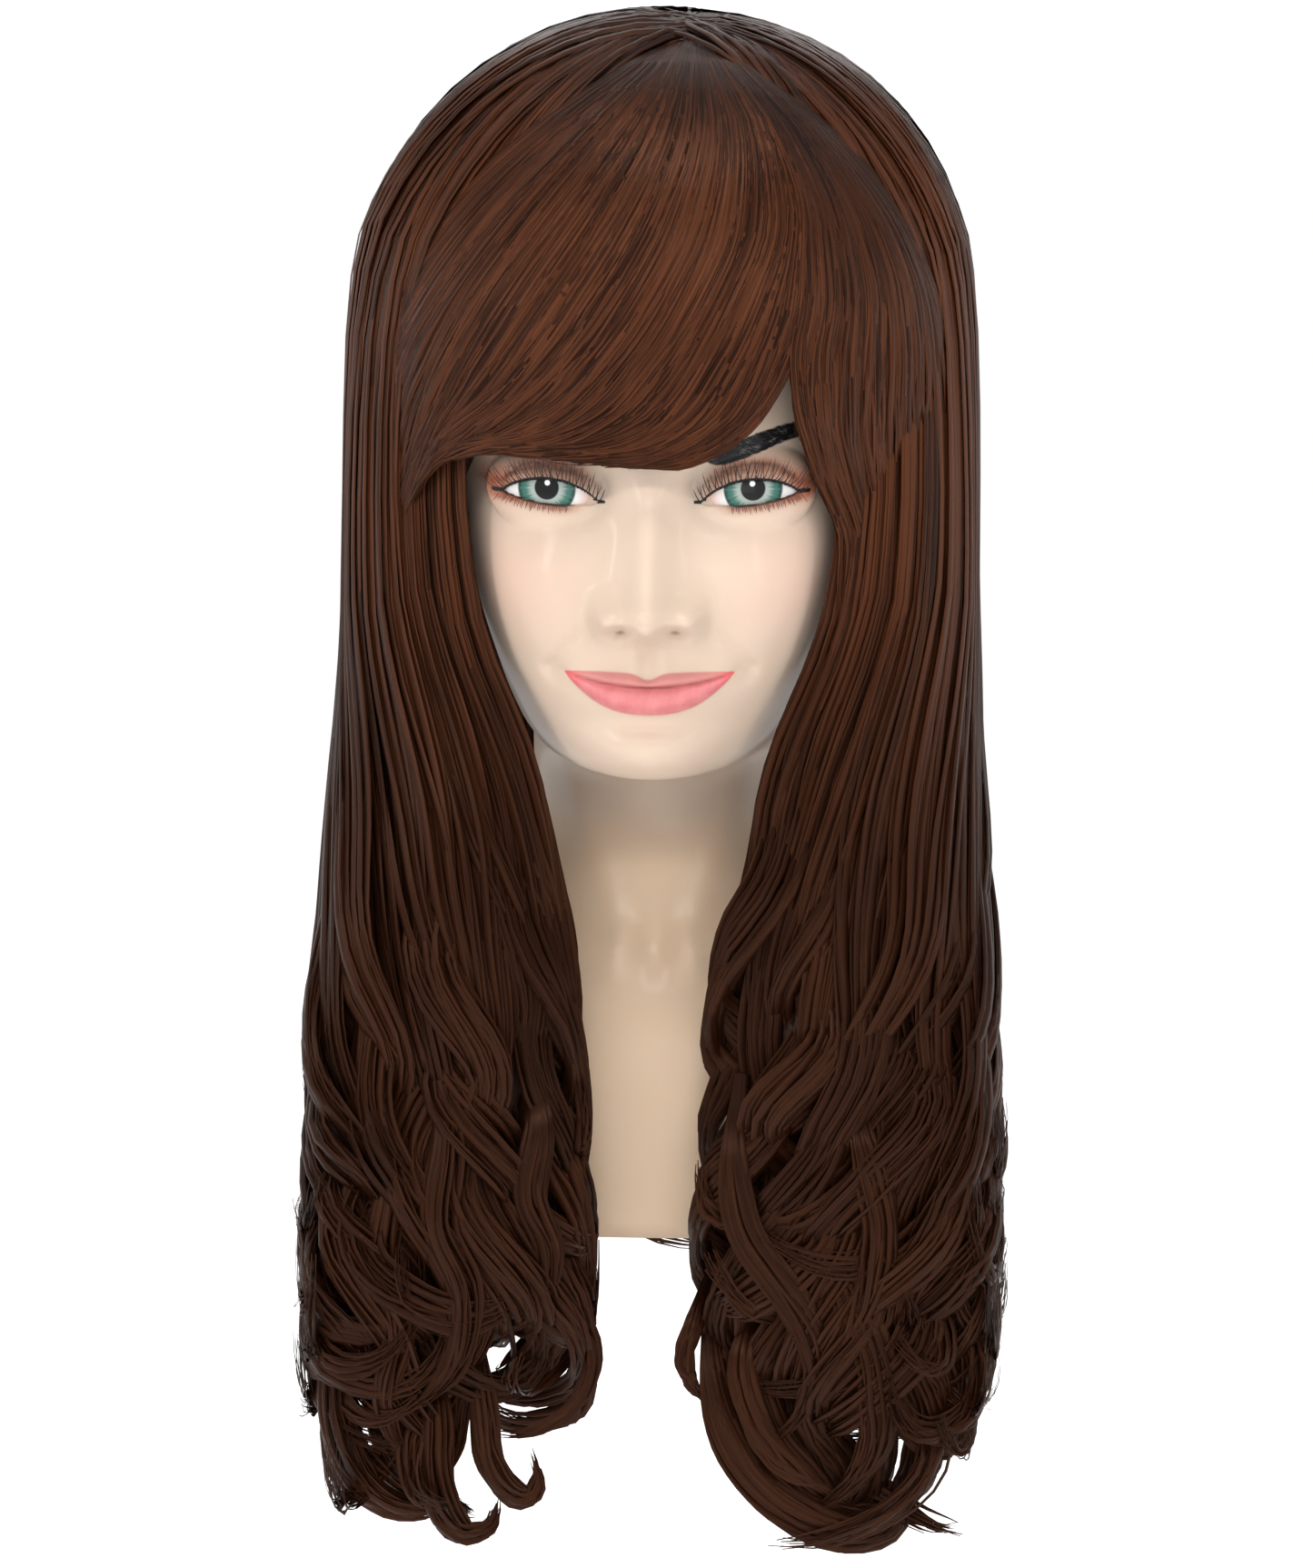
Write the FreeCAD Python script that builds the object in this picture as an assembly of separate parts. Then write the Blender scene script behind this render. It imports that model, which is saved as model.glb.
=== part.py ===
import FreeCAD, Part
import math
import os

# A hairdressing training head: a hollow moulded head and bust on a screwed base plate with a clamp
# socket, wearing a removable long wig. Millimetres, +Z up, the face looks along -Y, and the origin
# is the centre of the clamp socket's mouth in the bust's flat base.

Vec = FreeCAD.Vector

# --- Driving dimensions ---------------------------------------------------------------------
WALL = 4.0  # moulded shell
BASE_PRISM = 24.0  # height over which the bust's wall is straight
PLATE_THICK = 12.0
PLATE_GAP = 0.3  # base plate to shell

SOCKET_BORE_R = 13.0
SOCKET_WALL = 4.0
SOCKET_DEPTH = 84.0
SOCKET_END = 4.0
FLANGE_R = 38.0
FLANGE_THICK = 5.0
SOCKET_SCREW_RING_R = 28.0

PLATE_SCREW_X = 62.0
PLATE_SCREW_Y = 48.0
PLATE_SCREW_SHIFT_Y = 12.0
BLOCK_SIZE = 22.0
BLOCK_HEIGHT = 18.0
SCREW_R = 2.1
SCREW_HEAD_R = 4.2
SCREW_HEAD_H = 2.6
SCREW_CLEAR = 0.15

CAP_GAP = 0.8  # wig cap to head
CAP_CLOTH = 1.2
BAND_CLOTH = 0.8
HAIR_START = 6.2  # where the body of the hair begins, outside the cap
HAIR_OFF_SKIN = 2.5  # long lengths to face, neck and bust
WEFT_INNER = 3.1
WEFT_OUTER = 4.4
WEFT_HEIGHT = 5.0
SLIT = 0.3  # between neighbouring locks

NAPE_ARC_Y = 41.5  # axis that the nape adjusters follow
NAPE_ARC_R = 64.2
STRAP_THICK = 0.9
STRAP_HEIGHT = 7.0
NAPE_Z = 208.0

EYE_X = 33.0
EYE_Y = -84.0
EYE_Z = 245.5
EAR_CENTRE = (67.0, 18.0, 240.0)
EAR_RADII = (10.0, 14.0, 28.0)

# --- Sections -------------------------------------------------------------------------------
# The skull is an ellipsoid, and the wig's cap and hair are domes: an ellipsoid above the widest
# level and straight walls below it, so that the wig lifts straight off.
SKULL_CENTRE = (0.0, 9.0, 290.0)
SKULL_RADII = (74.0, 93.0, 81.5)
WIG_FLOOR_Z = 190.0
HAIR_CENTRE = (3.0, 11.5, 284.0)
HAIR_RADII = (103.0, 111.0, 109.0)

# Each ring is (z at the front, z at the back, front y, back y, y of the widest place, half width,
# roundness), where a roundness of 2 is an ellipse and more is squarer.
FACE_RINGS = [
    (152.0, 170.0, -74.0, 20.0, -40.0, 22.0, 2.0),
    (160.0, 182.0, -84.0, 38.0, -28.0, 37.0, 2.0),
    (178.0, 200.0, -87.5, 48.0, -18.0, 51.0, 2.0),
    (203.0, 221.0, -89.0, 52.0, -10.0, 60.0, 2.05),
    (230.0, 243.0, -87.0, 56.0, -5.0, 66.0, 2.1),
    (254.0, 262.0, -83.0, 58.0, -2.0, 67.0, 2.15),
    (276.0, 280.0, -78.0, 52.0, 0.0, 60.0, 2.1),
]
BUST_OUTLINE = (-62.0, 82.0, 10.0, 96.0, 2.5)
BUST_RINGS = [
    (BASE_PRISM, BASE_PRISM) + BUST_OUTLINE,
    (48.0, 48.0, -62.0, 82.0, 10.0, 96.0, 2.5),
    (70.0, 70.0, -59.0, 80.0, 10.0, 91.0, 2.45),
    (87.0, 87.0, -53.0, 76.0, 10.0, 77.0, 2.3),
    (101.0, 101.0, -46.0, 71.0, 11.0, 61.0, 2.15),
    (118.0, 118.0, -41.0, 66.0, 12.0, 50.5, 2.05),
    (140.0, 140.0, -37.0, 63.0, 13.0, 47.5, 2.0),
    (180.0, 180.0, -32.0, 61.0, 14.5, 47.0, 2.0),
    (232.0, 232.0, -24.0, 63.0, 18.0, 46.0, 2.0),
]
# Side profiles (y, z) of the wig's lower edges.
CAP_EDGE = [
    (-130.0, 322.0), (-70.0, 322.0), (-52.0, 300.0), (-38.0, 262.0), (-18.0, 260.0),
    (-6.0, 284.0), (26.0, 284.0), (44.0, 232.0), (70.0, NAPE_Z), (140.0, NAPE_Z),
]
EDGE_BAND_HEIGHT = 8.0

HAIR_EDGE_Z = 254.0  # where the crown's hair gives way to the lengths
# The side-swept fringe leaves this outline (x, z) of the face uncovered.
FACE_WINDOW = [
    (-66.0, 240.0), (-66.0, 257.0), (-45.0, 256.0), (-10.0, 255.5), (12.0, 258.5), (30.0, 267.0),
    (42.0, 277.0), (50.0, 288.0), (56.0, 279.0), (63.0, 262.0), (66.0, 240.0),
]

# Long lengths of hair. Front and curls: (z, inner x, outer x, front y, back y, roundness).
FRONT_LENGTH = [
    (HAIR_EDGE_Z - SLIT, 50.0, 103.0, -64.0, 36.0, 2.4),
    (225.0, 52.0, 103.5, -66.0, 30.0, 2.4),
    (190.0, 48.0, 105.0, -74.0, 18.0, 2.4),
    (155.0, 35.0, 107.0, -88.0, -4.0, 2.4),
    (125.0, 29.0, 108.0, -97.0, -26.0, 2.4),
    (95.0, 24.0, 109.0, -102.0, -44.0, 2.4),
    (60.0, 20.0, 109.5, -104.0, -60.0, 2.4),
    (20.0, 19.0, 110.0, -105.0, -64.0, 2.4),
]
CURL_LENGTH = [
    (20.0 - SLIT, 19.0, 110.0, -105.0, -64.0, 2.4),
    (-25.0, 17.0, 110.0, -107.0, -62.0, 2.4),
    (-55.0, 21.0, 108.0, -107.0, -62.0, 2.3),
    (-78.0, 34.0, 98.0, -103.0, -66.0, 2.2),
    (-95.0, 48.0, 84.0, -95.0, -74.0, 2.0),
]
# Back: (z, half width, front y, back y, y of the widest place, roundness).
BACK_LENGTH = [
    (HAIR_EDGE_Z - SLIT, 101.0, 36.3, 122.4, 58.0, 2.3),
    (200.0, 100.0, 38.0, 122.0, 62.0, 2.3),
    (150.0, 99.0, 56.0, 121.0, 80.0, 2.3),
    (110.0, 98.0, 82.0, 120.0, 100.0, 2.4),
    (60.0, 99.0, 86.0, 121.0, 103.0, 2.4),
    (0.0, 97.0, 87.0, 121.0, 104.0, 2.4),
    (-50.0, 90.0, 88.0, 120.0, 104.0, 2.4),
    (-75.0, 74.0, 95.0, 114.0, 104.0, 2.2),
]


# --- Shape helpers --------------------------------------------------------------------------
def signed_power(value, power):
    return math.copysign(abs(value) ** power, value)


def closed_wire(points):
    """A smooth closed wire through the points."""
    curve = Part.BSplineCurve()
    curve.interpolate(points, PeriodicFlag=True)
    return Part.Wire([curve.toShape()])


def ring_wire(ring, grow=0.0, steps=24):
    """One section as a wire, grown outwards by grow."""
    z_front, z_back, y_front, y_back, y_wide, half_width, roundness = ring
    power = 2.0 / roundness
    points = []
    for i in range(steps):
        angle = 2.0 * math.pi * i / steps
        across, along = math.cos(angle), math.sin(angle)
        depth = (y_back - y_wide if along > 0 else y_wide - y_front) + grow
        x = (half_width + grow) * signed_power(across, power)
        y = y_wide + depth * signed_power(along, power)
        z = z_front + (z_back - z_front) * (y - y_front) / (y_back - y_front)
        points.append(Vec(x, y, z))
    return closed_wire(points)


def body(rings, grow=0.0):
    """A closed solid through the rings."""
    return Part.makeLoft([ring_wire(ring, grow) for ring in rings], True, False, False, 3)


def domed(centre, radii, grow, floor_z):
    """An ellipsoid's upper half on straight walls that reach down to floor_z."""
    width, depth, height = (radius + grow for radius in radii)
    floor = (floor_z - centre[2]) / height
    top, waist, foot, middle = Vec(0, 0, 1), Vec(1, 0, 0), Vec(1, 0, floor), Vec(0, 0, floor)
    shoulder = Vec(math.sqrt(0.5), 0, math.sqrt(0.5))
    edges = [
        Part.Arc(top, shoulder, waist).toShape(), Part.makeLine(waist, foot),
        Part.makeLine(foot, middle), Part.makeLine(middle, top),
    ]
    turned = Part.Face(Part.Wire(edges)).revolve(Vec(0, 0, 0), Vec(0, 0, 1), 360)
    matrix = FreeCAD.Matrix()
    matrix.scale(Vec(width, depth, height))
    shape = turned.transformGeometry(matrix)
    shape.translate(Vec(*centre))
    return shape


def dome(grow, floor_z=WIG_FLOOR_Z):
    """The wig's solid form, grow outside the skull."""
    return domed(SKULL_CENTRE, SKULL_RADII, grow, floor_z)


def skin(inner, outer):
    """The layer between two growths of the wig's form."""
    return dome(outer).cut(dome(inner, WIG_FLOOR_Z - 5.0))


def ellipsoid(centre, radii):
    matrix = FreeCAD.Matrix()
    matrix.scale(Vec(*radii))
    shape = Part.makeSphere(1.0).transformGeometry(matrix)
    shape.translate(Vec(*centre))
    return shape


def upright_prism(outline, z_low, z_high):
    """A prism on a plan outline of (x, y) points."""
    points = [Vec(x, y, z_low) for x, y in outline]
    face = Part.Face(Part.makePolygon(points + [points[0]]))
    return face.extrude(Vec(0, 0, z_high - z_low))


def side_prism(outline, half_width=200.0):
    """A prism across the head on a side outline of (y, z) points."""
    points = [Vec(-half_width, y, z) for y, z in outline]
    face = Part.Face(Part.makePolygon(points + [points[0]]))
    return face.extrude(Vec(2 * half_width, 0, 0))


def cylinder(radius, z_low, z_high, x=0.0, y=0.0):
    return Part.makeCylinder(radius, z_high - z_low, Vec(x, y, z_low), Vec(0, 0, 1))


def box(x_low, x_high, y_low, y_high, z_low, z_high):
    return Part.makeBox(x_high - x_low, y_high - y_low, z_high - z_low, Vec(x_low, y_low, z_low))


def mirrored(shape):
    return shape.mirror(Vec(0, 0, 0), Vec(1, 0, 0))


def nape_arc(start_deg, end_deg, inner_r, outer_r, z_low, z_high):
    """A piece of a round band at the nape. Angles run from the back's centre towards +X."""
    ring = cylinder(outer_r, z_low, z_high, 0.0, NAPE_ARC_Y)
    ring = ring.cut(cylinder(inner_r, z_low - 1, z_high + 1, 0.0, NAPE_ARC_Y))
    reach = 2.0 * outer_r
    corners = [(0.0, NAPE_ARC_Y)]
    for degrees in (start_deg, 0.5 * (start_deg + end_deg), end_deg):
        turn = math.radians(degrees)
        corners.append((reach * math.sin(turn), NAPE_ARC_Y + reach * math.cos(turn)))
    return ring.common(upright_prism(corners, z_low - 1, z_high + 1))


def solids_of(shape):
    """Only the real solids of a boolean's result."""
    found = [solid for solid in shape.Solids if solid.Volume > 1.0]
    return found[0] if len(found) == 1 else Part.makeCompound(found)


# --- The moulded head and bust --------------------------------------------------------------
def nose():
    """A plain wedge where the nose stands out from the face."""
    bridge, tip = Vec(0, -85, 250), Vec(0, -107, 212)
    wing_a, wing_b = Vec(-16, -86, 208), Vec(16, -86, 208)
    into_head = Vec(0, 16, 0)
    back = [point + into_head for point in (bridge, wing_a, wing_b)]
    outlines = [
        (bridge, tip, wing_a), (bridge, wing_b, tip), (wing_a, tip, wing_b),
        (bridge, wing_a, back[1], back[0]), (bridge, back[0], back[2], wing_b),
        (wing_a, wing_b, back[2], back[1]), (back[0], back[1], back[2]),
    ]
    faces = [Part.Face(Part.makePolygon(list(line) + [line[0]])) for line in outlines]
    return Part.makeSolid(Part.makeShell(faces))


def ear(side):
    return ellipsoid((side * EAR_CENTRE[0],) + EAR_CENTRE[1:], EAR_RADII)


def lips():
    return ellipsoid((0.0, -82.0, 183.0), (25.0, 9.0, 7.5))


def head_form(grow, floor_z):
    """Skull, face, neck and bust as one solid that stands on floor_z."""
    radii = [radius + grow for radius in SKULL_RADII]
    low_ring = (floor_z, floor_z) + BUST_OUTLINE
    prism = Part.Face(ring_wire(low_ring, grow)).extrude(Vec(0, 0, BASE_PRISM - floor_z))
    form = prism.fuse(body(BUST_RINGS, grow))
    return form.fuse(body(FACE_RINGS, grow)).fuse(ellipsoid(SKULL_CENTRE, radii))


def head_shell():
    """Head, neck and bust, moulded in one hollow piece that is open below."""
    outer = head_form(0.0, 0.0)
    for extra in (nose(), lips(), ear(-1), ear(1)):
        outer = outer.fuse(extra)
    return solids_of(outer.cut(head_form(-WALL, -10.0)))


# --- The base -------------------------------------------------------------------------------
def plate_screw_places():
    return [
        (x, PLATE_SCREW_SHIFT_Y + y)
        for x in (-PLATE_SCREW_X, PLATE_SCREW_X)
        for y in (-PLATE_SCREW_Y, PLATE_SCREW_Y)
    ]


def socket_screw_places():
    turns = [math.radians(45 + 90 * i) for i in range(4)]
    return [(SOCKET_SCREW_RING_R * math.cos(t), SOCKET_SCREW_RING_R * math.sin(t)) for t in turns]


def screw(x, y, length):
    """A countersunk-style pan screw driven up into the base, its head sunk in the plate."""
    head = cylinder(SCREW_HEAD_R, 1.0, 1.0 + SCREW_HEAD_H, x, y)
    slot_half = 0.5
    for turn in (0, 1):
        size = (SCREW_HEAD_R * 0.6, slot_half) if turn else (slot_half, SCREW_HEAD_R * 0.6)
        head = head.cut(box(x - size[0], x + size[0], y - size[1], y + size[1], 0.9, 2.2))
    return head.fuse(cylinder(SCREW_R, 1.0 + SCREW_HEAD_H, length, x, y))


def screw_hole(x, y, length):
    """Room for a screw, with a counterbore from the underside."""
    bore = cylinder(SCREW_R + SCREW_CLEAR, -1.0, length + 0.5, x, y)
    return bore.fuse(cylinder(SCREW_HEAD_R + SCREW_CLEAR, -1.0, 1.0 + SCREW_HEAD_H, x, y))


PLATE_SCREW_LENGTH = PLATE_THICK + 13.0
SOCKET_SCREW_LENGTH = PLATE_THICK + FLANGE_THICK - 1.0


def base_plate():
    outline = ring_wire((0.0, 0.0) + BUST_OUTLINE, -WALL - PLATE_GAP)
    plate = Part.Face(outline).extrude(Vec(0, 0, PLATE_THICK))
    plate = plate.cut(cylinder(SOCKET_BORE_R + SOCKET_WALL + 0.2, -1.0, PLATE_THICK + 1.0))
    for x, y in plate_screw_places():
        plate = plate.cut(screw_hole(x, y, PLATE_SCREW_LENGTH))
    for x, y in socket_screw_places():
        plate = plate.cut(screw_hole(x, y, SOCKET_SCREW_LENGTH))
    return plate


def screw_blocks():
    """Blocks bonded inside the shell, which take the plate's screws."""
    blocks = []
    low = PLATE_THICK + 0.1
    for x, y in plate_screw_places():
        half = BLOCK_SIZE / 2
        block = box(x - half, x + half, y - half, y + half, low, low + BLOCK_HEIGHT)
        inside = head_form(-WALL - 0.05, -10.0)
        block = block.common(inside)
        blocks.append(solids_of(block.cut(screw_hole(x, y, PLATE_SCREW_LENGTH))))
    return Part.makeCompound(blocks)


def clamp_socket():
    """The blind socket that a table clamp's post goes into."""
    outer_r = SOCKET_BORE_R + SOCKET_WALL
    socket = cylinder(outer_r, 0.0, SOCKET_DEPTH + SOCKET_END)
    socket = socket.fuse(cylinder(FLANGE_R, PLATE_THICK + 0.05, PLATE_THICK + FLANGE_THICK))
    ribs = [(1, 0), (0, 1)]
    for across, along in ribs:
        reach_x = (outer_r + 10.0) * across + 1.5 * along
        reach_y = (outer_r + 10.0) * along + 1.5 * across
        low = PLATE_THICK + FLANGE_THICK
        socket = socket.fuse(box(-reach_x, reach_x, -reach_y, reach_y, low, low + 22.0))
    socket = socket.cut(cylinder(SOCKET_BORE_R, -1.0, SOCKET_DEPTH))
    for x, y in socket_screw_places():
        socket = socket.cut(screw_hole(x, y, SOCKET_SCREW_LENGTH))
    return socket


# --- Eyelashes ------------------------------------------------------------------------------
def eyelash(face):
    """The mannequin's left false eyelash: a curved strip that stands off the upper lid."""
    root_points = [Vec(-14, 5, -1), Vec(0, 12, 4), Vec(14, 24, 0)]
    tip_points = [Vec(-18, -6, 1), Vec(0, -2, 8), Vec(20, 12, 3)]
    root, tips = (Part.Arc(*points).toShape() for points in (root_points, tip_points))
    strip = Part.makeRuledSurface(root, tips).extrude(Vec(0, 0, 0.6))
    strip.translate(Vec(EYE_X, EYE_Y, EYE_Z))
    return solids_of(strip.cut(face))


# --- The wig's cap --------------------------------------------------------------------------
def above(edge, raise_by=0.0):
    """Everything above a side profile."""
    line = [(y, z + raise_by) for y, z in edge]
    return side_prism(line + [(140.0, 420.0), (-130.0, 420.0)])


def cap_cloth():
    return skin(CAP_GAP, CAP_GAP + CAP_CLOTH).common(above(CAP_EDGE))


LACE_BACK_Y = -58.0
TAB_TOP_Z = 290.0
TAB_BACK_Y = -6.0
NAPE_TOP_Z = 262.0


def cap_pieces():
    """The cap cut along its seams: front lace, crown net, ear tabs and nape panel."""
    cloth = cap_cloth()
    far = 200.0
    lace_room = box(-far, far, -far, LACE_BACK_Y, 290.0, 420.0)
    tab_room = box(-far, far, -far, TAB_BACK_Y, 200.0, TAB_TOP_Z)
    nape_room = box(-far, far, TAB_BACK_Y, far, 150.0, NAPE_TOP_Z)
    tabs = cloth.common(tab_room).cut(lace_room)
    crown = cloth.cut(lace_room).cut(tab_room).cut(nape_room)
    return {
        "cap_front_lace": cloth.common(lace_room),
        "cap_crown_net": crown,
        "cap_nape_panel": cloth.common(nape_room),
        "cap_ear_tab_right": tabs.common(box(-far, 0, -far, far, 0, 420)),
        "cap_ear_tab_left": tabs.common(box(0, far, -far, far, 0, 420)),
    }


def edge_binding():
    """The tape bound round the outside of the cap's edge."""
    inner = CAP_GAP + CAP_CLOTH
    tape = skin(inner, inner + BAND_CLOTH)
    return tape.common(above(CAP_EDGE)).cut(above(CAP_EDGE, EDGE_BAND_HEIGHT))


def parting_skin():
    """The skin-coloured patch that the crown's roots come out of."""
    inner = CAP_GAP + CAP_CLOTH
    patch = skin(inner, inner + 1.0)
    oval = ellipsoid((0.0, -4.0, 372.0), (30.0, 42.0, 30.0))
    return patch.common(oval)


def wefts(rows, y_low, y_high):
    """Machine-sewn weft tracks round the cap, one solid for each row."""
    track = skin(WEFT_INNER, WEFT_OUTER)
    clear_of_binding = above(CAP_EDGE, EDGE_BAND_HEIGHT + 0.5)
    bands = []
    for z in rows:
        band = track.common(box(-200, 200, y_low, y_high, z, z + WEFT_HEIGHT))
        bands += [s for s in band.common(clear_of_binding).Solids if s.Volume > 1.0]
    return Part.makeCompound(bands)


# --- Nape adjusters -------------------------------------------------------------------------
STRAP_INNER_R = NAPE_ARC_R
STRAP_OUTER_R = NAPE_ARC_R + STRAP_THICK
STRAP_LOW_Z = NAPE_Z - STRAP_HEIGHT - 0.6


def adjuster_strap():
    low = STRAP_LOW_Z + 0.8
    return nape_arc(26.5, 60.0, STRAP_INNER_R, STRAP_OUTER_R, low, low + STRAP_HEIGHT - 1.6)


def adjuster_hook():
    """The moulded hook on a strap's end, with a lip that drops behind the ladder's bars."""
    low, high = STRAP_LOW_Z, STRAP_LOW_Z + STRAP_HEIGHT
    bar = nape_arc(15.0, 26.5, STRAP_INNER_R, STRAP_OUTER_R + 0.5, low + 1.0, high - 1.0)
    head = nape_arc(15.0, 17.0, STRAP_INNER_R - 1.6, STRAP_OUTER_R + 0.5, low + 1.0, high - 1.0)
    lip = nape_arc(17.0, 20.0, STRAP_INNER_R - 1.6, STRAP_INNER_R - 1.0, low + 1.0, high - 1.0)
    return bar.fuse(head).fuse(lip)


def hook_ladder():
    """The sewn ladder of loops that both hooks catch on, hung from the nape binding."""
    inner, outer = STRAP_INNER_R - 3.0, STRAP_INNER_R - 2.0
    low, high = STRAP_LOW_Z - 0.5, NAPE_Z - 0.05
    ladder = nape_arc(-24.0, 24.0, inner, outer, low, high)
    for i in range(-4, 5):
        slot = nape_arc(5.0 * i - 1.4, 5.0 * i + 1.4, inner - 1, outer + 1, low + 1.6, high - 1.6)
        ladder = ladder.cut(slot)
    return ladder


# --- The wig's hair -------------------------------------------------------------------------
def hair_top():
    """All the hair over the crown, down to the level of the brows."""
    mass = domed(HAIR_CENTRE, HAIR_RADII, 0.0, WIG_FLOOR_Z)
    mass = mass.cut(dome(HAIR_START, WIG_FLOOR_Z - 5.0))
    mass = mass.common(box(-200, 200, -200, 200, HAIR_EDGE_Z, 420))
    points = [Vec(x, -200, z) for x, z in FACE_WINDOW]
    window = Part.Face(Part.makePolygon(points + [points[0]])).extrude(Vec(0, 170, 0))
    return mass.cut(window)


def sector(start_deg, end_deg, steps=4):
    """A plan wedge from the crown. Angles run from the front (-Y) towards +X."""
    half_slit = SLIT / 2
    middle = math.radians(0.5 * (start_deg + end_deg))
    centre = (
        half_slit * math.sin(middle) / math.sin(math.radians(0.5 * (end_deg - start_deg))),
        CROWN_Y - half_slit * math.cos(middle) / math.sin(math.radians(0.5 * (end_deg - start_deg))),
    )
    corners = [centre]
    for i in range(steps + 1):
        turn = math.radians(start_deg + (end_deg - start_deg) * i / steps)
        corners.append((centre[0] + 320 * math.sin(turn), centre[1] - 320 * math.cos(turn)))
    return upright_prism(corners, 100, 430)


CROWN_Y = 8.0
FRINGE_RIGHT_DEG = -52.0
FRINGE_LEFT_DEG = 34.0
TEMPLE_LEFT_DEG = 58.0
BACK_DEG = 128.0


def top_locks():
    mass = hair_top()
    wedges = {
        "hair_fringe": (FRINGE_RIGHT_DEG, FRINGE_LEFT_DEG),
        "hair_temple_left": (FRINGE_LEFT_DEG, TEMPLE_LEFT_DEG),
        "hair_crown_left": (TEMPLE_LEFT_DEG, BACK_DEG),
        "hair_crown_back": (BACK_DEG, 360.0 - BACK_DEG),
        "hair_crown_right": (-BACK_DEG, FRINGE_RIGHT_DEG),
    }
    return {name: mass.common(sector(*span)) for name, span in wedges.items()}


def hanging(rings):
    """A plain closed solid through level rings (z, x low, x high, y low, y high, y wide, power)."""
    wires = []
    for z, x_low, x_high, y_low, y_high, y_wide, roundness in rings:
        ring = (z, z, y_low, y_high, y_wide, 0.5 * (x_high - x_low), roundness)
        wire = ring_wire(ring, steps=20)
        wire.translate(Vec(0.5 * (x_low + x_high), 0, 0))
        wires.append(wire)
    return Part.makeLoft(wires, True, False, False, 3)


def front_rings(rings):
    return [(z, x1, x2, y1, y2, 0.5 * (y1 + y2), power) for z, x1, x2, y1, y2, power in rings]


def long_locks(face):
    """The lengths that hang from the crown's edge, in front of the bust and behind it."""
    inside = dome(HAIR_START, WIG_FLOOR_Z)
    front = hanging(front_rings(FRONT_LENGTH)).cut(inside).cut(face)
    curl = hanging(front_rings(CURL_LENGTH))
    back = hanging([(z, -w, w, y1, y2, wide, power) for z, w, y1, y2, wide, power in BACK_LENGTH])
    back = back.cut(dome(HAIR_START, -120.0)).cut(face)
    back = back.common(box(SLIT / 2, 200, -200, 200, -200, 300))
    locks = {}
    for name, lock in (("front", front), ("curl", curl), ("back", back)):
        lock = max(lock.Solids, key=lambda solid: solid.Volume)
        locks[f"hair_{name}_length_left"] = lock
        locks[f"hair_{name}_length_right"] = mirrored(lock)
    return locks


# --- Build ----------------------------------------------------------------------------------
def build():
    strap, hook = adjuster_strap(), adjuster_hook()
    lash = eyelash(head_form(0.05, 0.0))
    pieces = {
        "head_shell": head_shell(),
        "base_plate": base_plate(),
        "screw_blocks": screw_blocks(),
        "clamp_socket": clamp_socket(),
        "plate_screws": Part.makeCompound(
            [screw(x, y, PLATE_SCREW_LENGTH) for x, y in plate_screw_places()]
        ),
        "socket_screws": Part.makeCompound(
            [screw(x, y, SOCKET_SCREW_LENGTH) for x, y in socket_screw_places()]
        ),
        "eyelash_right": mirrored(lash),
        "eyelash_left": lash,
        "cap_edge_binding": edge_binding(),
        "parting_skin": parting_skin(),
        "back_wefts": wefts([222.0 + 13.0 * i for i in range(7)], 22.0, 200.0),
        "side_wefts": wefts([290.0 + 12.0 * i for i in range(5)], -55.0, 21.0),
        "adjuster_strap_left": strap,
        "adjuster_strap_right": mirrored(strap),
        "adjuster_hook_left": hook,
        "adjuster_hook_right": mirrored(hook),
        "hook_ladder": hook_ladder(),
    }
    pieces.update(cap_pieces())
    pieces.update(top_locks())
    pieces.update(long_locks(head_form(HAIR_OFF_SKIN, 0.0)))
    return pieces


os.makedirs("parts", exist_ok=True)
for name, shape in build().items():
    part = solids_of(shape)
    print(f"{name:28s} solids {len(part.Solids)} valid {part.isValid()} volume {part.Volume / 1000:.2f} cm3")
    part.exportStep(f"parts/{name}.step")
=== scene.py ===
import bmesh
import bpy
import math
import numpy as np
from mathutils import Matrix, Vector


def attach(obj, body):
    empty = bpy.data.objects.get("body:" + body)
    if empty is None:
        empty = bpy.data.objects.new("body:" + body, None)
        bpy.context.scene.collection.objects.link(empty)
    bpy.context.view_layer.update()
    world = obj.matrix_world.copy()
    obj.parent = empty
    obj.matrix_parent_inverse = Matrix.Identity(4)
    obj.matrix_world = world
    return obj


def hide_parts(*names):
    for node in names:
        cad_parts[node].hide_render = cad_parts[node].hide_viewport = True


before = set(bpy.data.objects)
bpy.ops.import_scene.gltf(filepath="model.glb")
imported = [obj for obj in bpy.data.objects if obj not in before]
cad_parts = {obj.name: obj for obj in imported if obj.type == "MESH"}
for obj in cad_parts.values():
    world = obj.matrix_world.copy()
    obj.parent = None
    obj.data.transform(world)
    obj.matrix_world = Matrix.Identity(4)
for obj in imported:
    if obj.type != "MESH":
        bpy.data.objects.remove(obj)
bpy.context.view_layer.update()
MM = 0.001  # places and sizes in this script are in millimetres, and meshes and lamps in metres
WALL = 4.0  # thickness of the head's moulding


# --- Small helpers ------------------------------------------------------------------------
def smooth(low, high, value):
    t = np.clip((value - low) / (high - low), 0.0, 1.0)
    return t * t * (3.0 - 2.0 * t)


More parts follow.
